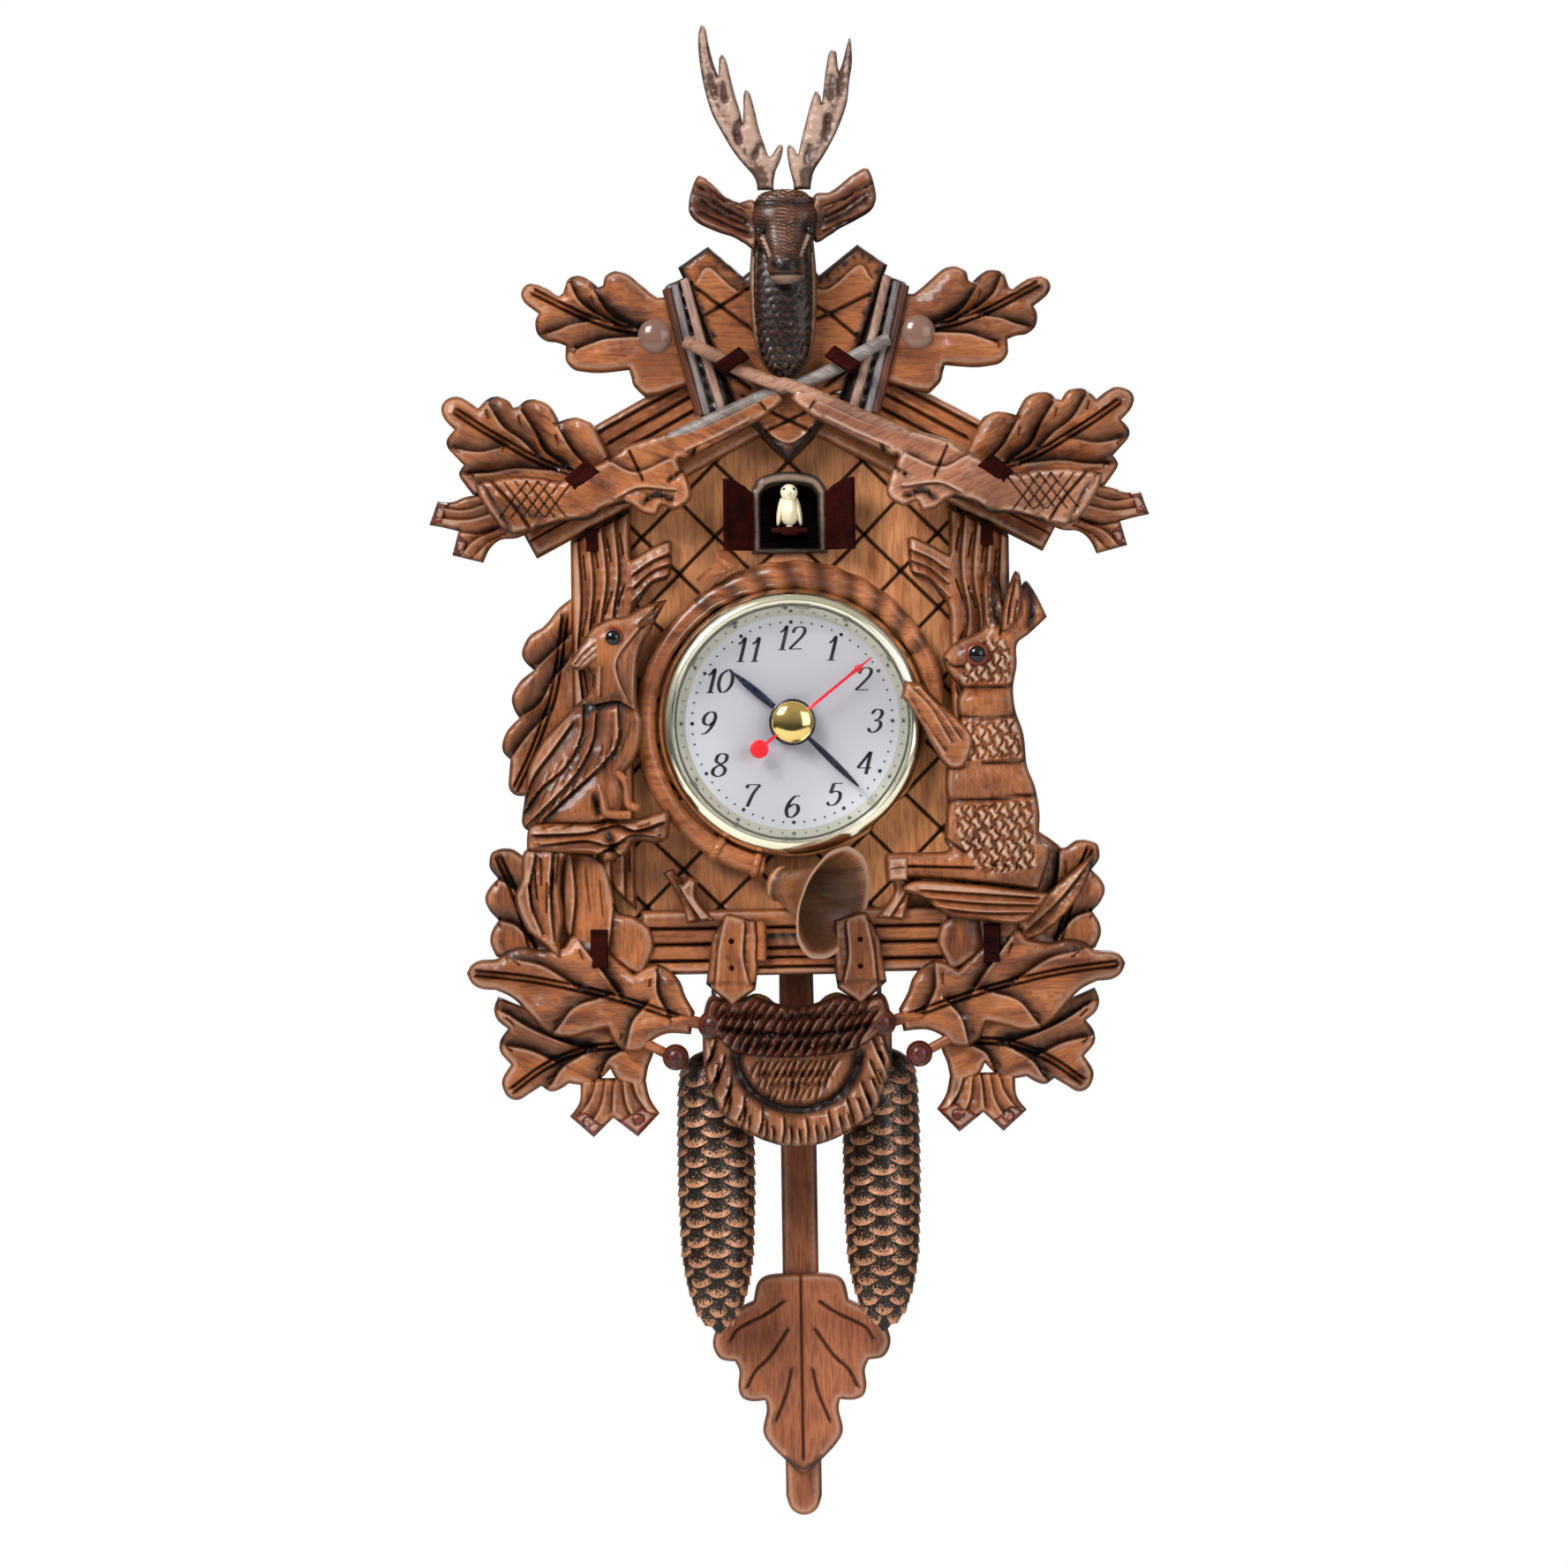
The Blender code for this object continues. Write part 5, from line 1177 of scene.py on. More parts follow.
def make_deer():
    head = stacked("deer_face", HEAD_ROWS, deer_wood, deer_face, sides=72, per_row=7)
    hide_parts("deer_head")
    stacked("deer_neck", NECK_ROWS, deer_wood, deer_fur, lean=-0.7, sides=60, per_row=8)
    collar = [fold([(-9.6, 152), (-9.8, 128), (-6.5, 114), (-0.8, 110.4)], 2, 0.8, 0.6),
              fold([(-0.8, 110.4), (5, 114), (8, 128), (8, 152)], 2, 0.8, 0.6)]
    relief("deer_neck_board", NECK_BOARD, SECOND + 6, SECOND + 9.6, collar, board_wood, edge=1.5)
    for side, sign in SIDES:
        features = [
            sink([(-11.5, 156.5), (-19, 160.5), (-26.5, 165.5)], 6, 2.6, 0.25),
            fold([(-12, 154.5), (-18, 157), (-26.5, 161)], 2.4, 1, 0.8),
            fold([(-27.5, 168.5), (-20, 164.5), (-12, 161.5)], 2.4, 1, 0.8),
            vein([(-13, 157.8), (-19, 160.6), (-25.5, 165)], 0.6, 0.6),
            vein([(-13.5, 160), (-19, 163), (-25, 168)], 0.5, 0.5),
        ]
        relief(f"deer_ear_{side}", EARS[side], 83, 88, features, ear_wood, side=sign, edge=1.6, step=1)
        eye = lump(f"deer_eye_{side}", (-7.9 * sign, 154.4, 91), (1.7, 1.4, 1.6), eye_black)
        nostril = lump(f"deer_nostril_{side}", (-2.4 * sign, 143.4, 97.5), (0.9, 0.55, 0.8), eye_black)
        hollows = [sink(path, 1.9, 1.6, 1) for path in ANTLER_HOLLOWS[side]]
        spine = [(-7, 170), (-15.5, 185), (-21, 196), (-24.4, 212)]
        if side == "right":
            spine = [(6.5, 170), (12, 183), (17, 196), (20.5, 209)]
        hollows.append(sink(spine, 3.4, 0.5, 0.5))
        hollows.append(sink([(-7.4 * sign, 166), (-7.4 * sign, 172)], 6, 0.3, 0.7))
        antler = relief(f"antler_horn_{side}", ANTLERS[side], 84.9, 87.9, hollows, antler_skin, edge=2.6,
                        rim=0.15, step=1, both=True, waves=0.16)
        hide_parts(f"antler_{side}")
    swept("deer_glint", [(-1, 144.8, 98), (1, 144.8, 98)], 0.3, boss_paint, sides=8)


# ---------------------------------------------------------------- trunks, animals, ledge

TRUNK = [
    (-69.5, 58, CORNER), (-69.5, 30), (-69.5, -42, CORNER), (-63, -45.4), (-56, -53.6),
    (-50.3, -58.7, CORNER), (-50.6, -20), (-50.3, 26), (-50, 35), (-47.8, 39), (-43.8, 44.2),
    (-39.4, 45.8, CORNER), (-37.8, 48.6), (-37.2, 57.8, CORNER), (-39, 58.4, CORNER), (-43.8, 56.2),
    (-50.3, 52.4, CORNER), (-50.6, 60), (-50.3, 68, CORNER),
]
WOODPECKER = [
    (-39, 39.4, CORNER), (-47, 37.4), (-51.8, 34.4), (-56.6, 33.8), (-61.4, 31.8), (-64.6, 28.6),
    (-67.5, 24), (-69.8, 19.8, CORNER), (-68.4, 18.2), (-65.5, 18.8), (-63, 15), (-64.5, 10),
    (-68.6, 6.2), (-74.2, 0.6), (-79.8, -5.8), (-83.8, -13.8), (-85, -22.6), (-86, -30.6),
    (-83.8, -33.4, CORNER), (-76, -31.5), (-64, -31.5), (-55, -28.5), (-53, -22), (-54.2, -17),
    (-50.2, -11.4), (-47.8, -5), (-47.4, 0.6), (-49, 7), (-48.6, 19), (-47, 25.4), (-43.8, 31),
]
TAIL = [
    (-84.7, -39), (-71.9, -39.5), (-73.3, -43.8), (-74.1, -51.9), (-73.3, -59.2), (-74.1, -66.5),
    (-74.8, -73.9, CORNER), (-79.2, -69.5), (-85, -64.3), (-88.7, -54.8), (-86.5, -48.2),
]
PERCH = [
    (-84.6, -39.4, CORNER), (-83.8, -32.2), (-79, -30.6), (-63, -31), (-50.2, -29.8),
    (-39.8, -27, CORNER), (-39.2, -31.5), (-39.8, -36.2, CORNER), (-43.8, -37.8), (-50.2, -37),
    (-53.4, -41), (-59.8, -43.4), (-63, -41), (-79, -40.2),
]
RABBIT = [
    (48, 20.5), (50.5, 23.4), (54, 25.5), (58, 27.3), (60.5, 29), (60.5, 35), (60.8, 42), (61.8, 46.2),
    (63.4, 46.3), (65.6, 42.5), (67.4, 36.5), (68.2, 38.5), (69.6, 43.5), (71.2, 46.8), (72.4, 46.2),
    (73.2, 42, CORNER), (74.6, 43.6), (77.5, 39.5), (81, 32, CORNER), (75.5, 27), (71.4, 23.5),
    (71.2, 17), (70, 10), (70.5, 3), (73, -5), (74, -15), (76.5, -22), (77.7, -30), (77.7, -38),
    (81, -41.5), (79, -49), (77, -54.5, CORNER), (56, -51.5), (38, -50), (29, -51, CORNER), (28.6, -43),
    (32, -41.8), (48, -41.5), (47.5, -38), (48, -31), (48.5, -26), (48, -21), (48.5, -15), (50, -8),
    (52.5, -1), (52, 6), (53.5, 9.8), (50, 14), (48, 18.5),
]
PAW = [
    (34.5, 7.6, CORNER), (35.6, 12.6, CORNER), (41.2, 11.4, CORNER), (46, 6), (52, 0.5), (57, -6),
    (54, -15), (48.5, -15), (44, -8), (40, 0),
]
LEDGE = [
    (34, -53.8), (38, -50.6), (56, -52), (80.5, -55.2, CORNER), (76, -62), (70, -65), (60, -64),
    (48, -62), (41, -56.5),
]


def make_trunks():
    for side, sign in SIDES:
        bark = [
            [(-67.2, 58), (-66.4, 40), (-67.6, 22), (-66.2, 4), (-67.4, -16), (-66, -43)],
            [(-63.6, 61), (-62.4, 44), (-64, 26), (-62.2, 8), (-63.8, -12), (-62.6, -45)],
            [(-59.6, 63), (-58.2, 46), (-60.2, 30), (-58, 12), (-60, -8), (-58.6, -30), (-58.4, -50)],
            [(-55.6, 65), (-54.4, 48), (-56.4, 32), (-54, 16), (-56, -6), (-54.2, -34), (-54, -54)],
        ]
        stub = [[(-38.5, 47.2 + i * 3.4), (-44, 45.2 + i * 3.2), (-49.5, 39.5 + i * 4.2)] for i in range(3)]
        features = [fold(path, 3.4, 1.8, 0.6) for path in bark + stub]
        for path in bark:
            for index in range(len(path) - 1):
                (ax, ay), (bx, by) = path[index], path[index + 1]
                features.append(cut([(ax + 1.8, ay * 0.75 + by * 0.25), (bx + 1.6, ay * 0.35 + by * 0.65)],
                                    0.5, 0.7))
        features.append(swell([(-60, 60), (-60, -45)], 9, 1.5))
        trunk = relief(f"tree_{side}", TRUNK, FIRST, FIRST + 6.2, features, upright, side=sign, edge=2.6)
        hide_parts(f"trunk_{side}")
        for number, (left, right, low, high) in enumerate(
            ((-64.8, -60.2, 54.6, 62.2), (-64.9, -59.4, -77.2, -64.7))
        ):
            back = FIRST + (3 if number == 0 else 7)
            relief(f"stay_{side}_{number}", board(left, low, right, high), back, back + 5, [], dark_wood,
                   side=sign, edge=0.6,
                   step=2, waves=0.02)


def eyeball(name, across, up, forward, radius):
    """A painted eye: a ring and a black ball in it."""
    ring = lump(f"{name}_ring", (across, up, forward), (radius * 1.1, radius * 1.05, radius * 0.5),
                eye_ring)
    ball = lump(name, (across, up, forward + radius * 0.42), (radius * 0.76, radius * 0.76, radius * 0.46),
                eye_black)


def make_woodpecker():
    wing = [
        [(-70, 0), (-76, -8), (-82, -16), (-85, -24)],
        [(-66, 5), (-67, -4), (-72, -13), (-80, -20), (-85, -27)],
        [(-62, 3), (-63.5, -6), (-70, -17), (-84, -31)],
        [(-55, 5), (-55.5, -6), (-62, -14), (-71, -22), (-79, -29.5)],
    ]
    feathers = []
    for row in range(6):
        for strand in range(3):
            x = -60.5 - row * 3.7 - strand * 2.6
            z = -9 - row * 3.6 + strand * 2.4
            feathers.append([(x, z), (x - 1.4, z - 2.6), (x - 2, z - 4.2)])
    cheek = [[(-64.6, 17.6), (-65.6, 11.6)], [(-62.6, 17.8), (-63, 10.4)], [(-60.2, 17.6), (-60.6, 9.4)],
             [(-42, 37.6), (-48, 30), (-54.4, 21.6), (-55, 16), (-51.6, 6.6)]]
    beak = [[(-47, 31.2), (-43.6, 34.4), (-40.2, 38.2)]]
    features = [swell([(-57.5, 26.5), (-56, 10)], 8, 2), swell([(-56, 2), (-60, -10)], 8, 2),
                swell([(-66, -8), (-78, -22)], 7, 1.4)]
    features += [fold(path, 5, 1.7, 0.8) for path in wing]
    features += [cut(path, 0.45, 0.4, 0.5) for path in feathers] + [fold(path, 1.8, 0.9,
                                                                         0.7) for path in cheek]
    features.append(sink([(-66, 5), (-60, 6.6), (-55.4, 8)], 3.4, 1.2, 0.7))
    features += [vein(path, 0.8, 0.8) for path in beak]
    features.append(fold([(-50.4, 5), (-55, 7.4), (-62, 6.4)], 3, 1.4, 0.6))
    features.append(sink([(-62.5, -23), (-61.5, -27.5)], 2.2, 2.4, 0.95))
    for index in range(7):
        x, z = -51 - index * 1.5, 1 - index * 1.3 - 2 * (index % 2)
        features.append(cut([(x, z), (x - 0.5, z - 3), (x - 1.5, z - 6)], 0.45, 0.45, 0.5))
    bird = relief("woodpecker_body", WOODPECKER, THIRD, 79.5, features, upright, edge=4.5, rim=0.4,
                  step=1.2, waves=0.05,
                  fine=0.7, dense=0.55)
    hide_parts("woodpecker")
    comb = [(-60.6, 27.6), (-63.5, 28), (-67, 24.2), (-70.3, 18.8, CORNER), (-66.9, 17.2), (-63, 19.4),
            (-59.8, 22.4)]
    strokes = [fold([(-61.4, 26.2), (-65.4, 23), (-68.6, 19.2)], 1.6, 0.8, 0.7),
               fold([(-61, 24.4), (-64.4, 21.4), (-67.4, 18.4)], 1.6, 0.8, 0.7)]
    relief("woodpecker_comb", comb, 76, 80.6, strokes, stock_tan, edge=1.4, step=1, fine=0.6)
    eyeball("woodpecker_eye", -56.2, 27.4, 79.9, 3.2)
    bill = [(-43, 33.2, CORNER), (-47, 32.4), (-50, 28.6), (-48.4, 25.4), (-46.6, 26.4), (-44.4, 29.4)]
    relief("woodpecker_bill", bill, 70.6, 76.6, [cut([(-48, 27.6), (-45, 31.4)], 0.5, 0.6)], upright,
           edge=1.4)
    barbs = [cut([(-74.5 - i * 1.9, -42 - (i % 3) * 4), (-75.5 - i * 1.5, -50 - (i % 3) * 4.5)], 0.5, 0.7,
                 0.75)
             for i in range(6)]
    barbs += [fold([(-76.6, -41), (-77.4, -54), (-76.4, -68)], 3.2, 1.8, 0.8),
              fold([(-82, -41), (-84, -54), (-80, -66)], 3, 1.6, 0.8)]
    relief("woodpecker_tail", TAIL, THIRD, 77.5, barbs, upright, edge=3)
    for number, path in enumerate((
        [(-55.6, -15, 78.2), (-52.6, -19, 79.4), (-52.2, -25, 80.6), (-48.6, -26.6, 81.4)],
        [(-61.4, -19, 78.4), (-60, -24, 80), (-58.8, -28, 81.2), (-51.4, -28.6, 81.6)],
    )):
        swept(f"woodpecker_leg_{number}", along(path, 0.5, 3), 1.3, upright, sides=14)
    knots = [[(-41.5, -31), (-50, -33.4), (-56, -31.6), (-66, -34), (-82, -34.4)],
             [(-44, -35.6), (-51, -34.8), (-58, -38), (-66, -36.4), (-80, -37.6)],
             [(-55, -41.4), (-58, -39), (-62, -40.6)]]
    features = [fold(path, 3.2, 2, 0.8) for path in knots] + [sink([(-58.5, -35), (-57, -38.6)], 2.2, 2,
                                                                   0.9)]
    features += [cut([(x, -31.6), (x - 3, -32.4)], 0.5, 0.6) for x in (-46, -60, -70, -76)]
    relief("perch", PERCH, THIRD, 80, features, carved, edge=3)


def make_rabbit():
    head = [(53, 11), (53.4, 17), (60, 24.6), (66, 26), (70, 22), (69.6, 11)]
    chest = [(53.6, -0.6), (70.4, 0.4), (73.2, -12.4), (51.6, -13.8), (52, -8)]
    belly = [(50, -27.4), (76, -25.6), (76.6, -48), (60, -49.4), (52, -40)]
    bands = [swell([(54, 5.4), (70, 5.8)], 4.4, 1.5), swell([(50, -19.6), (74.6, -18.6)], 5, 1.6),
             sink([(53, 10), (62, 9.6), (70, 10.6)], 1.2, 1.4, 0.8),
             sink([(52.6, 0.8), (62, 0), (71, 1.2)], 1.2, 1.4, 0.8),
             sink([(49, -14.6), (61, -14), (73.6, -13.4)], 1.2, 1.4, 0.8),
             sink([(48.6, -25.8), (62, -25.4), (76.6, -24.2)], 1.2, 1.4, 0.8)]
    lines = [[(48.6, 19), (51, 16.8), (54, 16.6)], [(30.5, -46), (44, -46.5), (56, -47)],
             [(48, -38), (54, -42)], [(67.4, 37), (67, 30), (66, 27)], [(70, -47), (60, -45), (56, -36)]]
    features = [swell([(58, 18), (64, 20)], 9, 1.6), swell([(64, -5), (63, -9)], 9, 1.2),
                swell([(66, -34), (66, -42)], 11, 2.2)]
    features += bands + [cut(path, 0.8, 1.4) for path in lines]
    features += [chisel(region, (3.6, 6.6), 1.4, 0.6) for region in (head, chest, belly)]
    features += [sink([(64.2, 44), (64.4, 37), (65.4, 30)], 2.4, 2, 0.85),
                 vein([(61.9, 44.6), (61.6, 38), (62.4, 30)], 0.7, 0.6),
                 sink([(75, 41.6), (76.4, 36), (75.4, 29.4)], 2.4, 2.2, 0.95)]
    rabbit = relief("hare_body", RABBIT, THIRD, 79.5, features, upright, edge=4.5, rim=0.4, step=1.2,
                    fine=0.7, dense=0.6)
    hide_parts("rabbit")
    ear = [(66.8, 27.5), (66.9, 34), (68.6, 41), (71, 46), (72.6, 44), (72.9, 38), (71.2, 31)]
    strokes = [cut([(68.4, 30), (69.4, 37), (71, 43.5)], 0.6, 1), cut([(70.4, 31), (71.4, 37)], 0.6, 0.9)]
    relief("hare_ear", ear, 78, 82, strokes, carved, edge=1.6, step=1)
    paw_cuts = [[(38, 10), (44, 3.5), (50, -7)], [(40.5, 10.5), (47, 3), (53, -6)],
                [(37.5, 6.5), (42, -1), (48, -10)]]
    relief("hare_paw", PAW, 75.4, 81.5, [fold(path, 2.2, 1, 0.5) for path in paw_cuts], carved, edge=2.5,
           step=1.1)
    eyeball("hare_eye", 58.5, 20.5, 80.9, 3.5)
    foot = [(29, -43.2, CORNER), (36, -42.6, CORNER), (35.8, -50.6, CORNER), (29.4, -50.8, CORNER)]
    relief("hare_foot_end", foot, 74, 80, [cut([(30.6, -46.8), (34.4, -46.4)], 0.5, 0.4)], stock_tan,
           edge=0.9)
    strata = [[(76, -56.5 - i * 2.4), (58, -55 - i * 3), (40, -53.6 - i * 2.4)] for i in range(3)]
    ledge = relief("ledge", LEDGE, THIRD, 80, [fold(path, 2.8, 1.8) for path in strata], carved, edge=2)
    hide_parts("rabbit_ledge")
    blade = [(70, -60, CORNER), (77, -57), (85, -51), (91, -46), (95, -42.5, CORNER),
             (93, -50), (88, -59), (80, -67), (72, -71, CORNER)]
    relief("grass_blade", blade, FIRST + 5.4, FIRST + 9, [fold([(93, -46), (84, -57), (73, -67)], 4, 1.6)],
           carved_tilt, edge=2)


# ---------------------------------------------------------------- horn, beam and bag


def make_bell():
    """The horn's flared bell: a turned trumpet with a light rim, painted shade in the groove behind it, and
    an inside painted darker further in as painted shade.
    """
    axis = np.array((0.767, -0.288, 0.574))
    axis /= np.linalg.norm(axis)
    mouth = np.array((12, -57.4, 83.2))
    profile = [(-24, 4.4), (-22.6, 5.6), (-21.6, 5.8), (-20.6, 5.2), (-16, 6.4), (-11, 8.4), (-6, 11.4),
               (-2.4, 15), (-0.4, 18), (0, 18.5), (0.1, 17.6), (-1.6, 14.8), (-5, 11.2), (-10, 7.8),
               (-15, 5.2), (-15.4, 1)]
    across = np.cross(axis, (0, 0, 1))
    across /= np.linalg.norm(across)
    above = np.cross(across, axis)
    points, shades = [], []
    sides, mouth_ring = 64, 9
    for index, (reach, radius) in enumerate(profile):
        for side in range(sides):
            turn = 2 * pi * side / sides
            uneven = 1 + 0.012 * sin(turn * 3) + 0.006 * sin(turn * 11)
            spot = mouth + axis * reach + radius * uneven * (cos(turn) * across + sin(turn) * above)
            points.append(spot)
            # Painted shade: dark in the groove behind the collar and darker further into the bell's inside.
            if index < mouth_ring:
                shades.append(1.25 if index == 2 else (0.35 if index == 3 else 0.8))
            else:
                shades.append(1.35 if index < 11 else 0.6 - 0.05 * (index - 11))
    faces = [(face[0], *face[:0:-1]) for face in tube_faces(len(profile), sides)]
    new_object("horn_bell", points, faces, bell_wood, "case", shades, 50)


def make_horn():
    ring = 46.7
    path, radii = [], []
    for angle in np.linspace(2, 258, 300):
        turn = radians(angle)
        path.append((ring * cos(turn), ring * sin(turn), 68))
        taper = 0.35 + 0.65 * min(1, (angle - 2) / 16)
        radii.append((3.3 + 1.25 * exp(-(((angle - 84) / 34) ** 2))) * taper)

    def winding(share, turn):
        """A strap wound round the upper half, painted darker in its grooves as painted shade, and plain
        polished wood below it.
        """
        angle = 2 + 256 * share
        if 28 < angle < 128:
            wave = sin(radians(angle) * 30 + turn)
            return 1 + 0.05 * wave, 0.72 + 0.34 * wave
        return 1, 0.95

    tube = swept("horn_tube", path, radii, horn_wood, sides=24, shade=winding)
    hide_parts("hunting_horn")
    make_bell()
    cup = along([(-27.5, 44, 70, 3), (-24.5, 47, 71.5, 2.6), (-22, 49.2, 72.5, 2.6),
                 (-20.4, 51, 73.2, 3.8), (-19.4, 52.4, 73.8, 4.3)], 0.6, 4)
    swept("horn_mouthpiece", cup[:, :3], cup[:, 3], horn_wood, sides=24)
    for number, angle in enumerate((238.5, 255)):
        turn = radians(angle)
        here = [(ring * cos(turn + d), ring * sin(turn + d), 68.2) for d in np.linspace(-0.03, 0.03, 7)]
        swept(f"horn_collar_{number}", here, [3.4, 3.9, 4.2, 4.3, 4.2, 3.9, 3.4], horn_wood, sides=24)


def make_beam():
    grooves = [[(-48.8, up), (48.8, up)] for up in (-65, -70, -75.3)]
    ridges = [swell([(-48.8, up), (48.8, up)], 2.6, 0.7) for up in (-62, -67.5, -72.6, -77.6)]
    rail = relief("beam", board(-49, -79.5, 49, -59), FIRST, FIRST + 5.6,
                  [cut(path, 0.9, 1.8, 0.95) for path in grooves] + ridges, carved, edge=1.4)
    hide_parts("lower_beam")
    grooves = [[(-13.8, up), (13.8, up)] for up in (-71.4, -74.4, -77.4)]
    features = [sink([(-13.6, -67.6), (13.6, -67.6)], 1.7, 1.4, 1)]
    features += [cut(path, 0.8, 1.4, 0.95) for path in grooves]
    relief("beam_middle", board(-14, -80, 14, -66.5), FIRST + 3, FIRST + 8, features, carved, edge=1.2)
    for side, sign in SIDES:
        fork = [(-41.8, -47, CORNER), (-38.5, -45.8, CORNER), (-35.6, -50.5, CORNER),
                (-33.6, -48.2, CORNER), (-30.4, -49.6, CORNER), (-31, -55), (-25, -62.5, CORNER),
                (-34.5, -63.5, CORNER), (-37, -55)]
        relief(f"fork_{side}", fork, FIRST + 2, FIRST + 9,
               [fold([(-30, -62), (-34, -56), (-38.5, -48)], 3, 1.4)], upright, side=sign, edge=1.4)


def make_bag():
    outline = [(-27, -86.4), (-20, -88.4), (-13.6, -86), (-9.5, -86.9), (-6, -89.5), (0, -90.6),
               (6, -89.5), (9.5, -86.9), (13.6, -86), (20, -88.4), (27, -86.4), (29.6, -92), (30, -100),
               (29.5, -110), (27, -118), (23, -125), (14, -131), (6, -134), (0, -134.6), (-6, -134),
               (-14, -131), (-23, -125), (-27, -118), (-29.5, -110), (-30, -100), (-29.6, -92)]
    features = []
    for index in range(34):
        angle = pi * (index - 1.5) / 31
        reach = (27.2, 24.6, 28.4)[index % 3]
        across, up = reach * cos(angle), -105 - reach * 0.98 * sin(angle)
        lean = 1.7 * cos(angle)
        stroke = [(across - lean * 0.6, up + 3.2), (across + 0.3, up), (across + lean, up - 3.6)]
        features.append(fold(stroke, 2, 1.6, 0.9))
    arc = [(19.4 * cos(a), -105 - 17.6 * sin(a)) for a in np.linspace(0.02, pi - 0.02, 30)]
    features.append(sink(arc, 3.4, 3.2, 1))
    for row, (up, half) in enumerate(((-109.4, 13.5), (-113, 11.4), (-116.8, 8))):
        for across in np.arange(-half, half, 2.1):
            tilt = 0.9 + 0.25 * sin(across * 2.3 + row)
            stroke = [(across - tilt, up - 2.2), (across, up), (across + tilt, up + 1.8)]
            features.append(fold(stroke, 1.8, 1.2, 0.8))
    bag = relief("pouch", outline, 61.2, 76, features, pouch_wood, edge=5, rim=0.5, step=1.3, fine=0.6,
                 dense=0.6)
    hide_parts("game_bag")
    fur = [(-27, -87), (-20, -88.6), (-13.6, -86.5), (-6, -89), (0, -90), (6, -89),
           (13.6, -86.5), (20, -88.6), (27, -87), (29, -93), (26.6, -98.4), (20.5, -103.2), (12, -105.7),
           (0, -106.6), (-10, -106.2), (-20, -104.6), (-26, -99), (-29, -93)]
    tufts = [sink([(-24, -96.6), (-10, -98.6), (8, -98.8), (24, -95.6)], 1.6, 1.3, 0.5)]
    for row, up in enumerate((-90, -94.4, -99.6, -103.6)):
        half = (24, 26, 23, 17)[row]
        for across in np.arange(-half, half, 3.1):
            start = across + 1.1 * (row % 2) + 0.5 * sin(across * 1.7 + row * 2.1)
            sag = 1.2 - 1.6 * (across / 26) ** 2
            middle = up - sag
            tuft = [(start - 1.5, middle - 2.5), (start - 0.3, middle), (start + 1.5, middle + 2.3)]
            tufts.append(fold(tuft, 2.4, 1.7, 0.75))
    relief("bag_fur", fur, THIRD, 80, tufts, fur_wood, edge=3.6, rim=0.3, step=1.2, fine=0.6, dense=0.6)
    for side, sign in SIDES:
        strap = [(-12.3, -64), (-14, -62.5), (-21.5, -60.3), (-24, -63.5), (-26.5, -68.5), (-27.5, -75),
                 (-28.6, -82.5, CORNER), (-20.5, -90, CORNER), (-13, -84.5, CORNER), (-12, -76)]
        features = [fold([(-16, -64), (-16.6, -74), (-15, -82)], 3, 1.2, 0.6),
                    fold([(-25.5, -82), (-24.6, -72), (-23, -64)], 3, 1.2, 0.6),
                    sink([(-28.2, -82.6), (-13.2, -82.8)], 0.9, 1, 0.9)]
        relief(f"bag_strap_{side}", strap, THIRD, 74, features, upright, side=sign, edge=1.4)
        for number, up in enumerate((-69, -77.4)):
            pin = lump(f"strap_pin_{side}_{number}", (-20.4 * sign, up, 73.9), (0.9, 0.9, 0.6), dark_wood)
    roll = swept("strap_roll", [(-10.8, -63, 74), (-10.6, -69, 74.4), (-10.8, -75, 74)], 1.5, carved,
                 sides=16)


# ---------------------------------------------------------------- dial

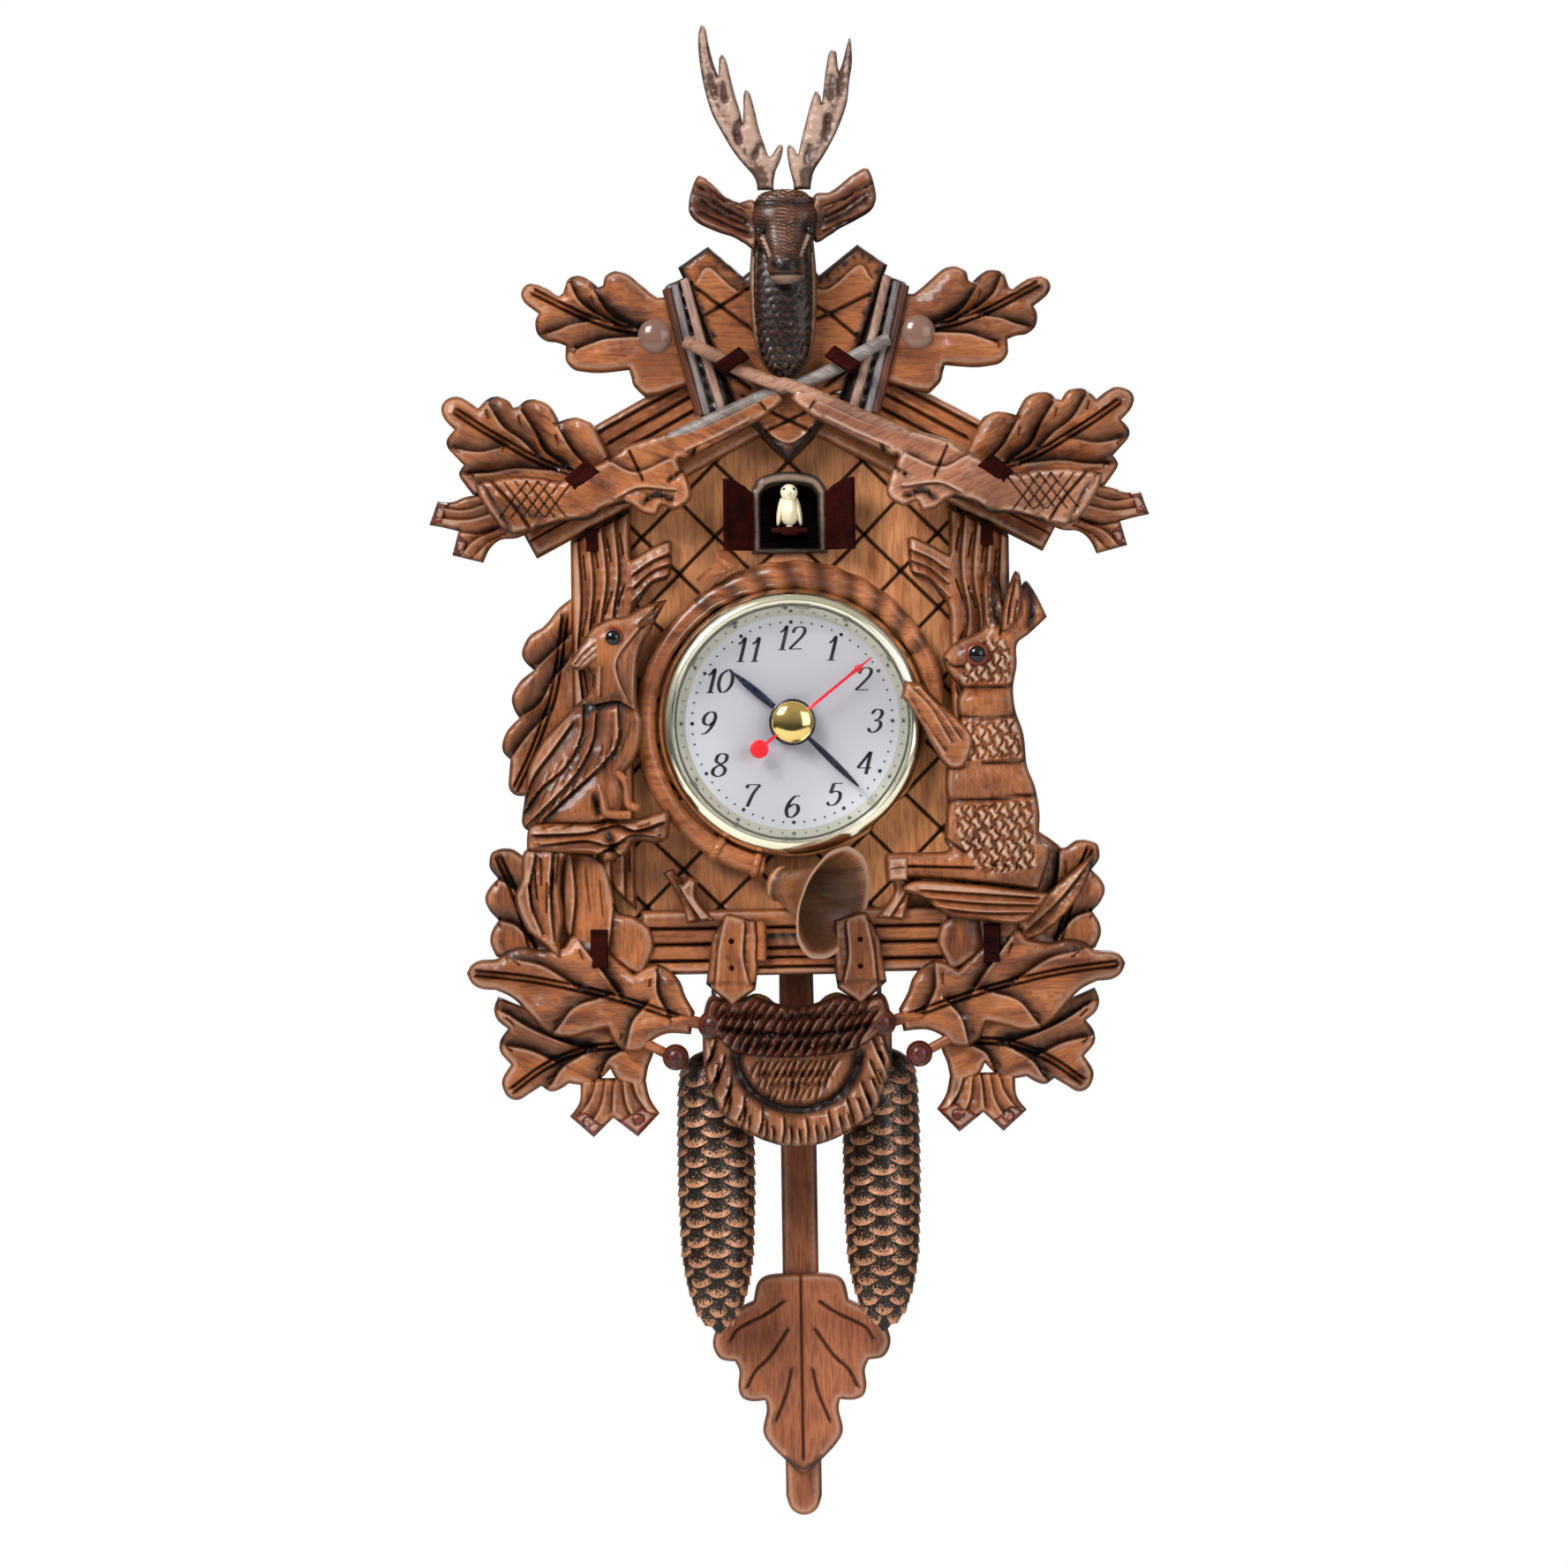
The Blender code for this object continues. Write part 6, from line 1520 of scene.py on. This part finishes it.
DIGITS = {
    "0": [[(2.2, 7.2), (0.6, 5.6), (0.4, 2.6), (1.6, 0.3), (3.2, 0.6), (4.4, 2.6), (4.2, 5.6), (2.9, 7.2),
           (2.2, 7.2)]],
    "1": [[(0.9, 5.6), (2, 6.5), (2.6, 7.3), (2.6, 0.2)], [(1.4, 0.1), (3.8, 0.1)]],
    "2": [[(0.5, 5.4), (1, 6.8), (2.4, 7.3), (3.9, 6.7), (4.1, 5.2), (2.9, 3.2), (0.5, 0.3)],
          [(0.4, 0.3), (4.5, 0.3)]],
    "3": [[(0.6, 6), (1.6, 7.2), (3.2, 7.1), (3.9, 5.9), (3.3, 4.4), (1.9, 3.8)],
          [(1.9, 3.8), (3.7, 3.4), (4.2, 2), (3.2, 0.4), (1.6, 0.2), (0.4, 1.4)]],
    "4": [[(3.3, 7.2), (0.3, 2.1)], [(0.3, 2.1), (4.7, 2.1)], [(3.4, 7.2), (3.4, 0.1)]],
    "5": [[(4.2, 7.1), (1.3, 7.1)], [(1.3, 7.1), (0.9, 4)],
          [(0.9, 4), (2.4, 4.6), (3.9, 3.9), (4.1, 2), (3, 0.4), (1.4, 0.2), (0.4, 1.2)]],
    "6": [[(3.9, 6.8), (2.2, 6.6), (0.9, 4.8), (0.5, 2.4), (1.4, 0.4), (3, 0.3), (4.2, 1.8), (3.8, 3.6),
           (2.4, 4.2), (0.8, 3.2)]],
    "7": [[(0.6, 6), (0.9, 7), (4.5, 7)], [(4.5, 7), (2.9, 4.2), (1.9, 0.1)]],
    "8": [[(2.5, 3.9), (0.9, 5), (1.1, 6.7), (2.5, 7.3), (3.9, 6.6), (3.9, 5), (2.5, 3.9)],
          [(2.5, 3.9), (0.7, 2.6), (0.7, 1), (2.4, 0.1), (4.1, 0.9), (4.2, 2.5), (2.5, 3.9)]],
    "9": [[(4.1, 4.2), (2.6, 3.1), (1, 3.9), (0.8, 5.8), (2.1, 7.2), (3.7, 6.9), (4.3, 5), (3.6, 2.4),
           (2.2, 0.6), (0.8, 0.4)]],
}


def pen_strokes(text, centre, forward):
    """Numbers written with a broad pen: thick on down strokes, thin across, and leaning."""
    points, faces = [], []
    width = 4.4 * len(text)
    for place_number, digit in enumerate(text):
        for stroke in DIGITS[digit]:
            line = along(stroke, 0.25)
            run = np.gradient(line, axis=0)
            run /= np.maximum(np.linalg.norm(run, axis=1, keepdims=True), 1e-9)
            thick = 0.17 + 0.42 * np.abs(run[:, 1]) ** 1.5
            nib = np.stack([-run[:, 1], run[:, 0]], axis=1) * thick[:, None]
            start = len(points)
            for spot, half in zip(line, nib):
                for sign in (1, -1):
                    x, y = spot + sign * half
                    x += place_number * 4.4 - width / 2 - 0.3 + 0.24 * (y - 3.7)
                    for lift in (0, 0.06):
                        points.append((centre[0] + x, centre[1] + y - 3.65, forward + lift))
            for step in range(len(line) - 1):
                a = start + step * 4
                faces += [(a + 1, a + 3, a + 7, a + 5), (a, a + 4, a + 6, a + 2),
                          (a, a + 1, a + 5, a + 4), (a + 2, a + 6, a + 7, a + 3)]
            faces.append((start, start + 2, start + 3, start + 1))
            end = start + (len(line) - 1) * 4
            faces.append((end, end + 1, end + 3, end + 2))
    return points, faces


def make_dial():
    face = 64.2
    profile = [(0, face), (35.2, face), (35.8, face + 0.35), (37, face + 0.35), (37, 63.4), (0, 63.4)]
    dial = lathe("dial_face", profile, (0, 0), dial_silver, steps=96)
    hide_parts("dial")
    points, faces = [], []
    for hour in range(1, 13):
        turn = radians(90 - 30 * hour)
        centre = (26.6 * cos(turn), 26.6 * sin(turn))
        more, shapes = pen_strokes(str(hour), centre, face + 0.02)
        faces += [tuple(index + len(points) for index in shape) for shape in shapes]
        points += more
    numerals = new_object("dial_numerals", points, faces, ink)
    points, faces = [], []
    for minute in range(60):
        turn = radians(90 - 6 * minute)
        radius = 0.62 if minute % 5 == 0 else 0.34
        centre = (31.8 * cos(turn), 31.8 * sin(turn))
        start = len(points)
        for lift in (face + 0.02, face + 0.08):
            for step in range(12):
                a = 2 * pi * step / 12
                points.append((centre[0] + radius * cos(a), centre[1] + radius * sin(a), lift))
        faces.append(tuple(start + 12 + step for step in range(12)))
        faces.append(tuple(start + 11 - step for step in range(12)))
        for step in range(12):
            after = (step + 1) % 12
            faces.append((start + step, start + after, start + 12 + after, start + 12 + step))
    dots = new_object("dial_dots", points, faces, ink)
    curve = [(37.3, 71.6), (37.4, 73.6), (37.8, 74.6), (38.4, 75), (39, 74.9), (39.7, 74.6), (40.4, 74.1),
             (41.1, 73.4), (41.7, 72.5), (42.2, 71.4), (42.5, 70), (42.5, 63.3), (37.3, 63.3)]
    bezel = lathe("bezel_ring", curve, (0, 0), bezel_gold, steps=128, sharp=30)
    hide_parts("bezel")
    cone = [(34.4, 64.5), (37.1, 70.6), (37.1, 71.2), (36.6, 71.2), (34, 64.6)]
    reflector = lathe("dial_reflector", cone, (0, 0), reflector_white, steps=96)
    dome = [(0, 74.6), (8, 74.5), (16, 74.1), (24, 73.5), (31, 72.8), (37.2, 72), (37.2, 71.4), (31, 72.2),
            (24, 72.9), (16, 73.5), (8, 73.9), (0, 74)]
    lens = lathe("lens_dome", dome, (0, 0), lens_glass, steps=96)
    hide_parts("lens")
    make_hands()


def hand_piece(name, outline, angle, layer, material, body):
    sine, cosine = sin(angle), cos(angle)
    turned = [(x * cosine + y * sine, y * cosine - x * sine, *rest) for x, y, *rest in outline]
    return relief(name, turned, layer[0], layer[1], [], material, body, edge=0.3, step=1.6, rim=0.6,
                  waves=0)


def make_hands():
    for name, length, width, angle, layer in (("hour", 24.5, 1.15, 310.6, (66.6, 67.2)),
                                              ("minute", 29.3, 0.95, 135, (68.2, 68.8))):
        half = [(width * 0.75, 6.9, CORNER), (width * 1.1, length * 0.55), (width * 0.9, length * 0.8)]
        outline = [*half, (0.25, length), (-0.25, length), *flip(half[::-1], -1)]
        ring = [(7.4 * sin(a), 7.4 * cos(a)) for a in np.linspace(2 * pi - 0.2, 0.2, 28)]
        hand = hand_piece(f"{name}_pointer", outline + ring, radians(angle), layer, navy, name)
        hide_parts(f"{name}_hand")
    angle = radians(51.6)
    needle = [(-0.55, 4), (-0.5, 24), (-1.3, 26.4), (-0.4, 28.6), (-0.2, 32.4), (0.2, 32.4), (0.4, 28.6),
              (1.3, 26.4), (0.5, 24), (0.55, 4), (0.5, -10.6)]
    disc = [(3 * sin(a), -13.5 + 3 * cos(a)) for a in np.linspace(0.3, 2 * pi - 0.3, 18)]
    outline = [*needle, *disc, (-0.5, -10.6)]
    pointer = hand_piece("second_pointer", outline, angle, (70, 70.6), red, "second")
    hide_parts("second_hand")
    profile = [(0, 72.6), (2.2, 72.55), (4.2, 72.2), (5.6, 71.6), (6.4, 71.1), (6.6, 70.8), (6.6, 70.3),
               (0, 70.3)]
    cap = lathe("centre_cap", profile, (0, 0), brass, "second", steps=64, sharp=50)


# ---------------------------------------------------------------- cuckoo, pendulum, cones


def make_cuckoo():
    arch = [(-12, 53.5, CORNER), (12, 53.5, CORNER), (12, 73.5, CORNER), (8.6, 78), (0, 79.6),
            (-8.6, 78), (-12, 73.5, CORNER)]
    opening = [(-9, 55.3, CORNER), (9, 55.3, CORNER), (9, 72, CORNER), (6.4, 74.9), (0, 75.8),
               (-6.4, 74.9), (-9, 72, CORNER)]
    rest_face = -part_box("door_frame")[0][1] / MM - DOOR_GAP
    frame_ring = relief("doorway", arch, FIRST, rest_face, [], frame_wood, holes=(opening,), edge=1.1,
                        step=1, rim=0.35)
    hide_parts("door_frame")
    finish_cad(dark_wood, "door_left", "door_right")
    for side, sign in SIDES:
        for end, low in (("low", 55), ("high", 68.5)):
            hinge = [(-12 * sign, up, 67.1) for up in (low, low + 3)]
            swept(f"door_hinge_{side}_{end}", hinge, 0.75, frame_steel, f"door_{side}", sides=12)

    def plumage(unit):
        return 1 + 0.03 * sin(unit[1] * 22), 1

    body = lump("cuckoo_body", (0, 67, 75.5), (3.3, 5.2, 6.6), ivory, "cuckoo", shape=plumage)
    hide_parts("cuckoo")
    more = [
        lump("cuckoo_head", (0, 72.4, 79.6), (2.7, 2.6, 2.9), ivory, "cuckoo"),
        lump("cuckoo_beak", (0, 72, 83.4), (0.8, 0.7, 2.2), ivory, "cuckoo"),
        lump("cuckoo_wing_left", (-3, 66.4, 75.6), (0.9, 4.6, 4.6), ivory, "cuckoo", radians(-8)),
        lump("cuckoo_wing_right", (3, 66.4, 75.6), (0.9, 4.6, 4.6), ivory, "cuckoo", radians(8)),
        lump("cuckoo_tail", (0, 64.4, 69.4), (1.8, 0.9, 3.2), ivory, "cuckoo"),
        lump("cuckoo_foot", (0, 61.9, 76.6), (1, 0.7, 1.2), ivory, "cuckoo"),
    ]
    for sign in (-1, 1):
        eye = lump(f"cuckoo_eye_{sign + 1}", (1.5 * sign, 73.4, 81.6), (0.5, 0.5, 0.5), eye_black, "cuckoo")


PENDULUM_HALF = [
    (5.7, -176.8, CORNER), (11, -177.5), (14, -180), (15.3, -185.5, CORNER), (18.5, -187),
    (25.5, -191.5), (28.3, -197), (28.2, -201), (26, -204.2), (21.5, -205, CORNER), (20.2, -208.2),
    (20.6, -213), (19.6, -216.4), (16.5, -217.8), (12, -217.6, CORNER), (11.6, -221), (12.8, -227.5),
    (10.5, -232), (5.7, -237), (2, -240.4),
]


PENDULUM_VEINS = [
    [(-6, -186), (-12, -190), (-20, -194), (-23, -198)],
    [(-4.5, -195), (-10, -203), (-15, -208), (-17.5, -213)], [(-3.5, -208), (-5, -215), (-8.5, -224)],
]


def make_pendulum():
    bar = [(-4.9, -40), (-4.9, -33), (-2.9, -30), (0, -29.1), (2.9, -30), (4.9, -33), (4.9, -40),
           (5.7, -110), (5.75, -248.5, CORNER), (4.6, -252.2), (2.6, -254.2), (0, -254.9), (-2.6, -254.2),
           (-4.6, -252.2), (-5.75, -248.5, CORNER), (-5.7, -110)]
    hole = [(1.7 * cos(a), -34 + 1.7 * sin(a)) for a in np.linspace(0, 2 * pi, 12, False)]
    stick = relief("pendulum_rod", bar, 25, 28.5, [], pendulum_wood, "pendulum", edge=1, rim=0.6,
                   holes=(hole,), waves=0.03)
    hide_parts("pendulum")
    outline = PENDULUM_HALF + [(0, -241.4, CORNER)]
    outline += flip(PENDULUM_HALF[::-1], -1)
    features = [cut([(0, -176.9), (0, -236)], 0.7, 0.9, 0.8),
                sink([(-5.7, -236.2), (0, -239.6), (5.7, -236.2)], 1.2, 1, 0.95)]
    for sign in (1, -1):
        for path in PENDULUM_VEINS:
            features.append(cut([(sign * x, z) for x, z in path], 0.9, 0.9, 0.85))
    relief("pendulum_leaf", outline, 28.5, 32.8, features, pendulum_wood, "pendulum", edge=2.4, rim=0.5,
           waves=0.05)


def make_cone(side, sign):
    """A pine cone: columns of wide scales, each with a raised lip, round a turned core."""
    centre = (-26.4 * sign, 47.5)
    girths = np.array([(-195, 0.8), (-192.5, 4.4), (-188, 7.6), (-180, 10.2), (-170, 11.9), (-150, 12.7),
                       (-130, 12.7), (-116, 12.3), (-110, 11.4), (-106, 8.6), (-104, 4)])

    def girth(up):
        return float(np.interp(up, girths[:, 0], girths[:, 1]))

    points, faces, shades = [], [], []
    columns, pitch, long = 10, 6.4, 9.8
    across_steps, down_steps = 8, 7
    for column in range(columns):
        middle = 2 * pi * column / columns + pi / 2
        up = -107.4 - (column % 2) * pitch / 2
        while up > -189:
            half = pi / columns * 1.72
            start = len(points)
            for step in range(down_steps):
                down = step / (down_steps - 1)
                for spread_step in range(across_steps + 1):
                    offset = 2 * spread_step / across_steps - 1
                    droop = 1 - 0.34 * offset * offset
                    turn = middle + half * offset * (0.94 + 0.06 * cos(pi * down))
                    level = up + pitch * 0.5 - long * down * droop * 0.72 - 1.2 * down
                    lip = max(0, down - 0.6) / 0.4
                    reach = girth(level) - 0.9 + 0.6 * down + 0.4 * lip * (1 - offset**4)
                    reach -= 0.9 * offset * offset
                    for depth in (0, 0.8):
                        radius = max(0.4, reach - depth - 0.5 * depth * down)
                        points.append((centre[0] + radius * cos(turn), level,
                                       centre[1] + radius * sin(turn)))
                        light = 0.9 * lip * (1 - 0.6 * offset**4) + 0.08
                        shades.append(light if depth == 0 else 0)
            wide = across_steps + 1
            for step in range(down_steps - 1):
                for k in range(across_steps):
                    a = start + (step * wide + k) * 2
                    b = a + wide * 2
                    faces += [(a, a + 2, b + 2, b), (a + 1, b + 1, b + 3, a + 3)]
                for k, order in ((0, 1), (across_steps, -1)):
                    a = start + (step * wide + k) * 2
                    b = a + wide * 2
                    faces.append((a, b, b + 1, a + 1) if order > 0 else (a, a + 1, b + 1, b))
            for k in range(across_steps):
                a = start + k * 2
                faces.append((a, a + 1, a + 3, a + 2))
                b = start + ((down_steps - 1) * wide + k) * 2
                faces.append((b, b + 2, b + 3, b + 1))
            up -= pitch
    scales = new_object(f"cone_scales_{side}", points, faces, cone_paint, f"cone_{side}", shades, 50)
    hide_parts(f"cone_{side}")
    levels = np.linspace(-104.6, -194.8, 26)
    core = [(centre[0], up, centre[1]) for up in levels]
    radii = [max(0.6, girth(up) - 1.9) for up in levels]
    inside_cone = swept(f"cone_core_{side}", core, radii, cone_paint, f"cone_{side}", sides=24,
                        shade=lambda share, turn: (1, 0))
    stem = [(centre[0], up, 47.5) for up in (-84.8, -92, -104.8)]
    hook = swept(f"cone_stem_{side}", stem, 0.8, frame_steel, f"cone_{side}", sides=12)


# ---------------------------------------------------------------- camera and light


def make_stage():
    floor_mesh = bpy.data.meshes.new("floor")
    reach, level = 1.2, cad_bounds[0][2] - 0.12
    floor_mesh.from_pydata([(-reach, -reach, level), (reach, -reach, level), (reach, reach * 0.3, level),
                            (-reach, reach * 0.3, level)], [], [(0, 1, 2, 3)])
    floor = bpy.data.objects.new("floor", floor_mesh)
    bpy.context.scene.collection.objects.link(floor)
    floor_mesh.materials.append(plain("pale_floor", (0.8, 0.8, 0.79), 0.7, speckle=0.02, scale=60))

    distance_off, frame_width = 2.6, 0.4973
    camera_data = bpy.data.cameras.new("camera")
    camera_data.sensor_width = 36
    camera_data.lens = 36 * distance_off / frame_width
    camera = bpy.data.objects.new("camera", camera_data)
    centre = place(-2.96, -19.56, 66)
    camera.location = centre + Vector((0, -distance_off, 0))
    roll_angle = radians(-0.877)
    roll = Matrix.Rotation(roll_angle, 4, "Z")
    upright_view = Matrix.Rotation(radians(90), 4, "X")
    camera.matrix_world = Matrix.Translation(camera.location) @ upright_view @ roll
    bpy.context.scene.collection.objects.link(camera)
    bpy.context.scene.camera = camera

    for name, at, size, power in (
        ("key", (-0.75, -1.1, 0.75), 0.6, 24),
        ("fill", (0.95, -1.2, 0.15), 0.9, 6.5),
        ("low", (0, -1.2, -0.9), 0.7, 2.5),
        ("back", (0.3, 1.2, 0.8), 0.8, 8),
    ):
        light_data = bpy.data.lights.new(name, "AREA")
        light_data.energy = power
        light_data.size = size
        light = bpy.data.objects.new(name, light_data)
        light.location = at
        aim = centre - Vector(at)
        light.rotation_euler = aim.to_track_quat("-Z", "Y").to_euler()
        bpy.context.scene.collection.objects.link(light)

    world = bpy.data.worlds.new("studio")
    bpy.context.scene.world = world
    world.use_nodes = True
    tree = world.node_tree
    tree.nodes.clear()
    seen, lit = (tree.nodes.new("ShaderNodeBackground") for _ in range(2))
    seen.inputs["Color"].default_value = (1, 1, 1, 1)
    seen.inputs["Strength"].default_value = 1
    split = tree.nodes.new("ShaderNodeSeparateXYZ")
    tree.links.new(tree.nodes.new("ShaderNodeTexCoord").outputs["Generated"], split.inputs[0])
    height = spread(tree, split.outputs["Z"], -1, 1)
    room = ramp(tree, height, [(0.3, (0.02, 0.022, 0.018)), (0.46, (0.16, 0.17, 0.16)),
                               (0.56, (0.6, 0.63, 0.66)), (0.8, (1, 0.96, 0.88))])
    tree.links.new(room, lit.inputs["Color"])
    lit.inputs["Strength"].default_value = 0.45
    path = tree.nodes.new("ShaderNodeLightPath")
    mix = tree.nodes.new("ShaderNodeMixShader")
    out = tree.nodes.new("ShaderNodeOutputWorld")
    tree.links.new(path.outputs["Is Camera Ray"], mix.inputs[0])
    tree.links.new(lit.outputs[0], mix.inputs[1])
    tree.links.new(seen.outputs[0], mix.inputs[2])
    tree.links.new(mix.outputs[0], out.inputs["Surface"])
    bpy.context.scene.view_settings.view_transform = "Standard"


make_leaves()
make_case()
make_crest()
make_deer()
make_trunks()
make_woodpecker()
make_rabbit()
make_horn()
make_beam()
make_bag()
make_dial()
make_cuckoo()
make_pendulum()
for cone_side, cone_sign in SIDES:
    make_cone(cone_side, cone_sign)
make_stage()
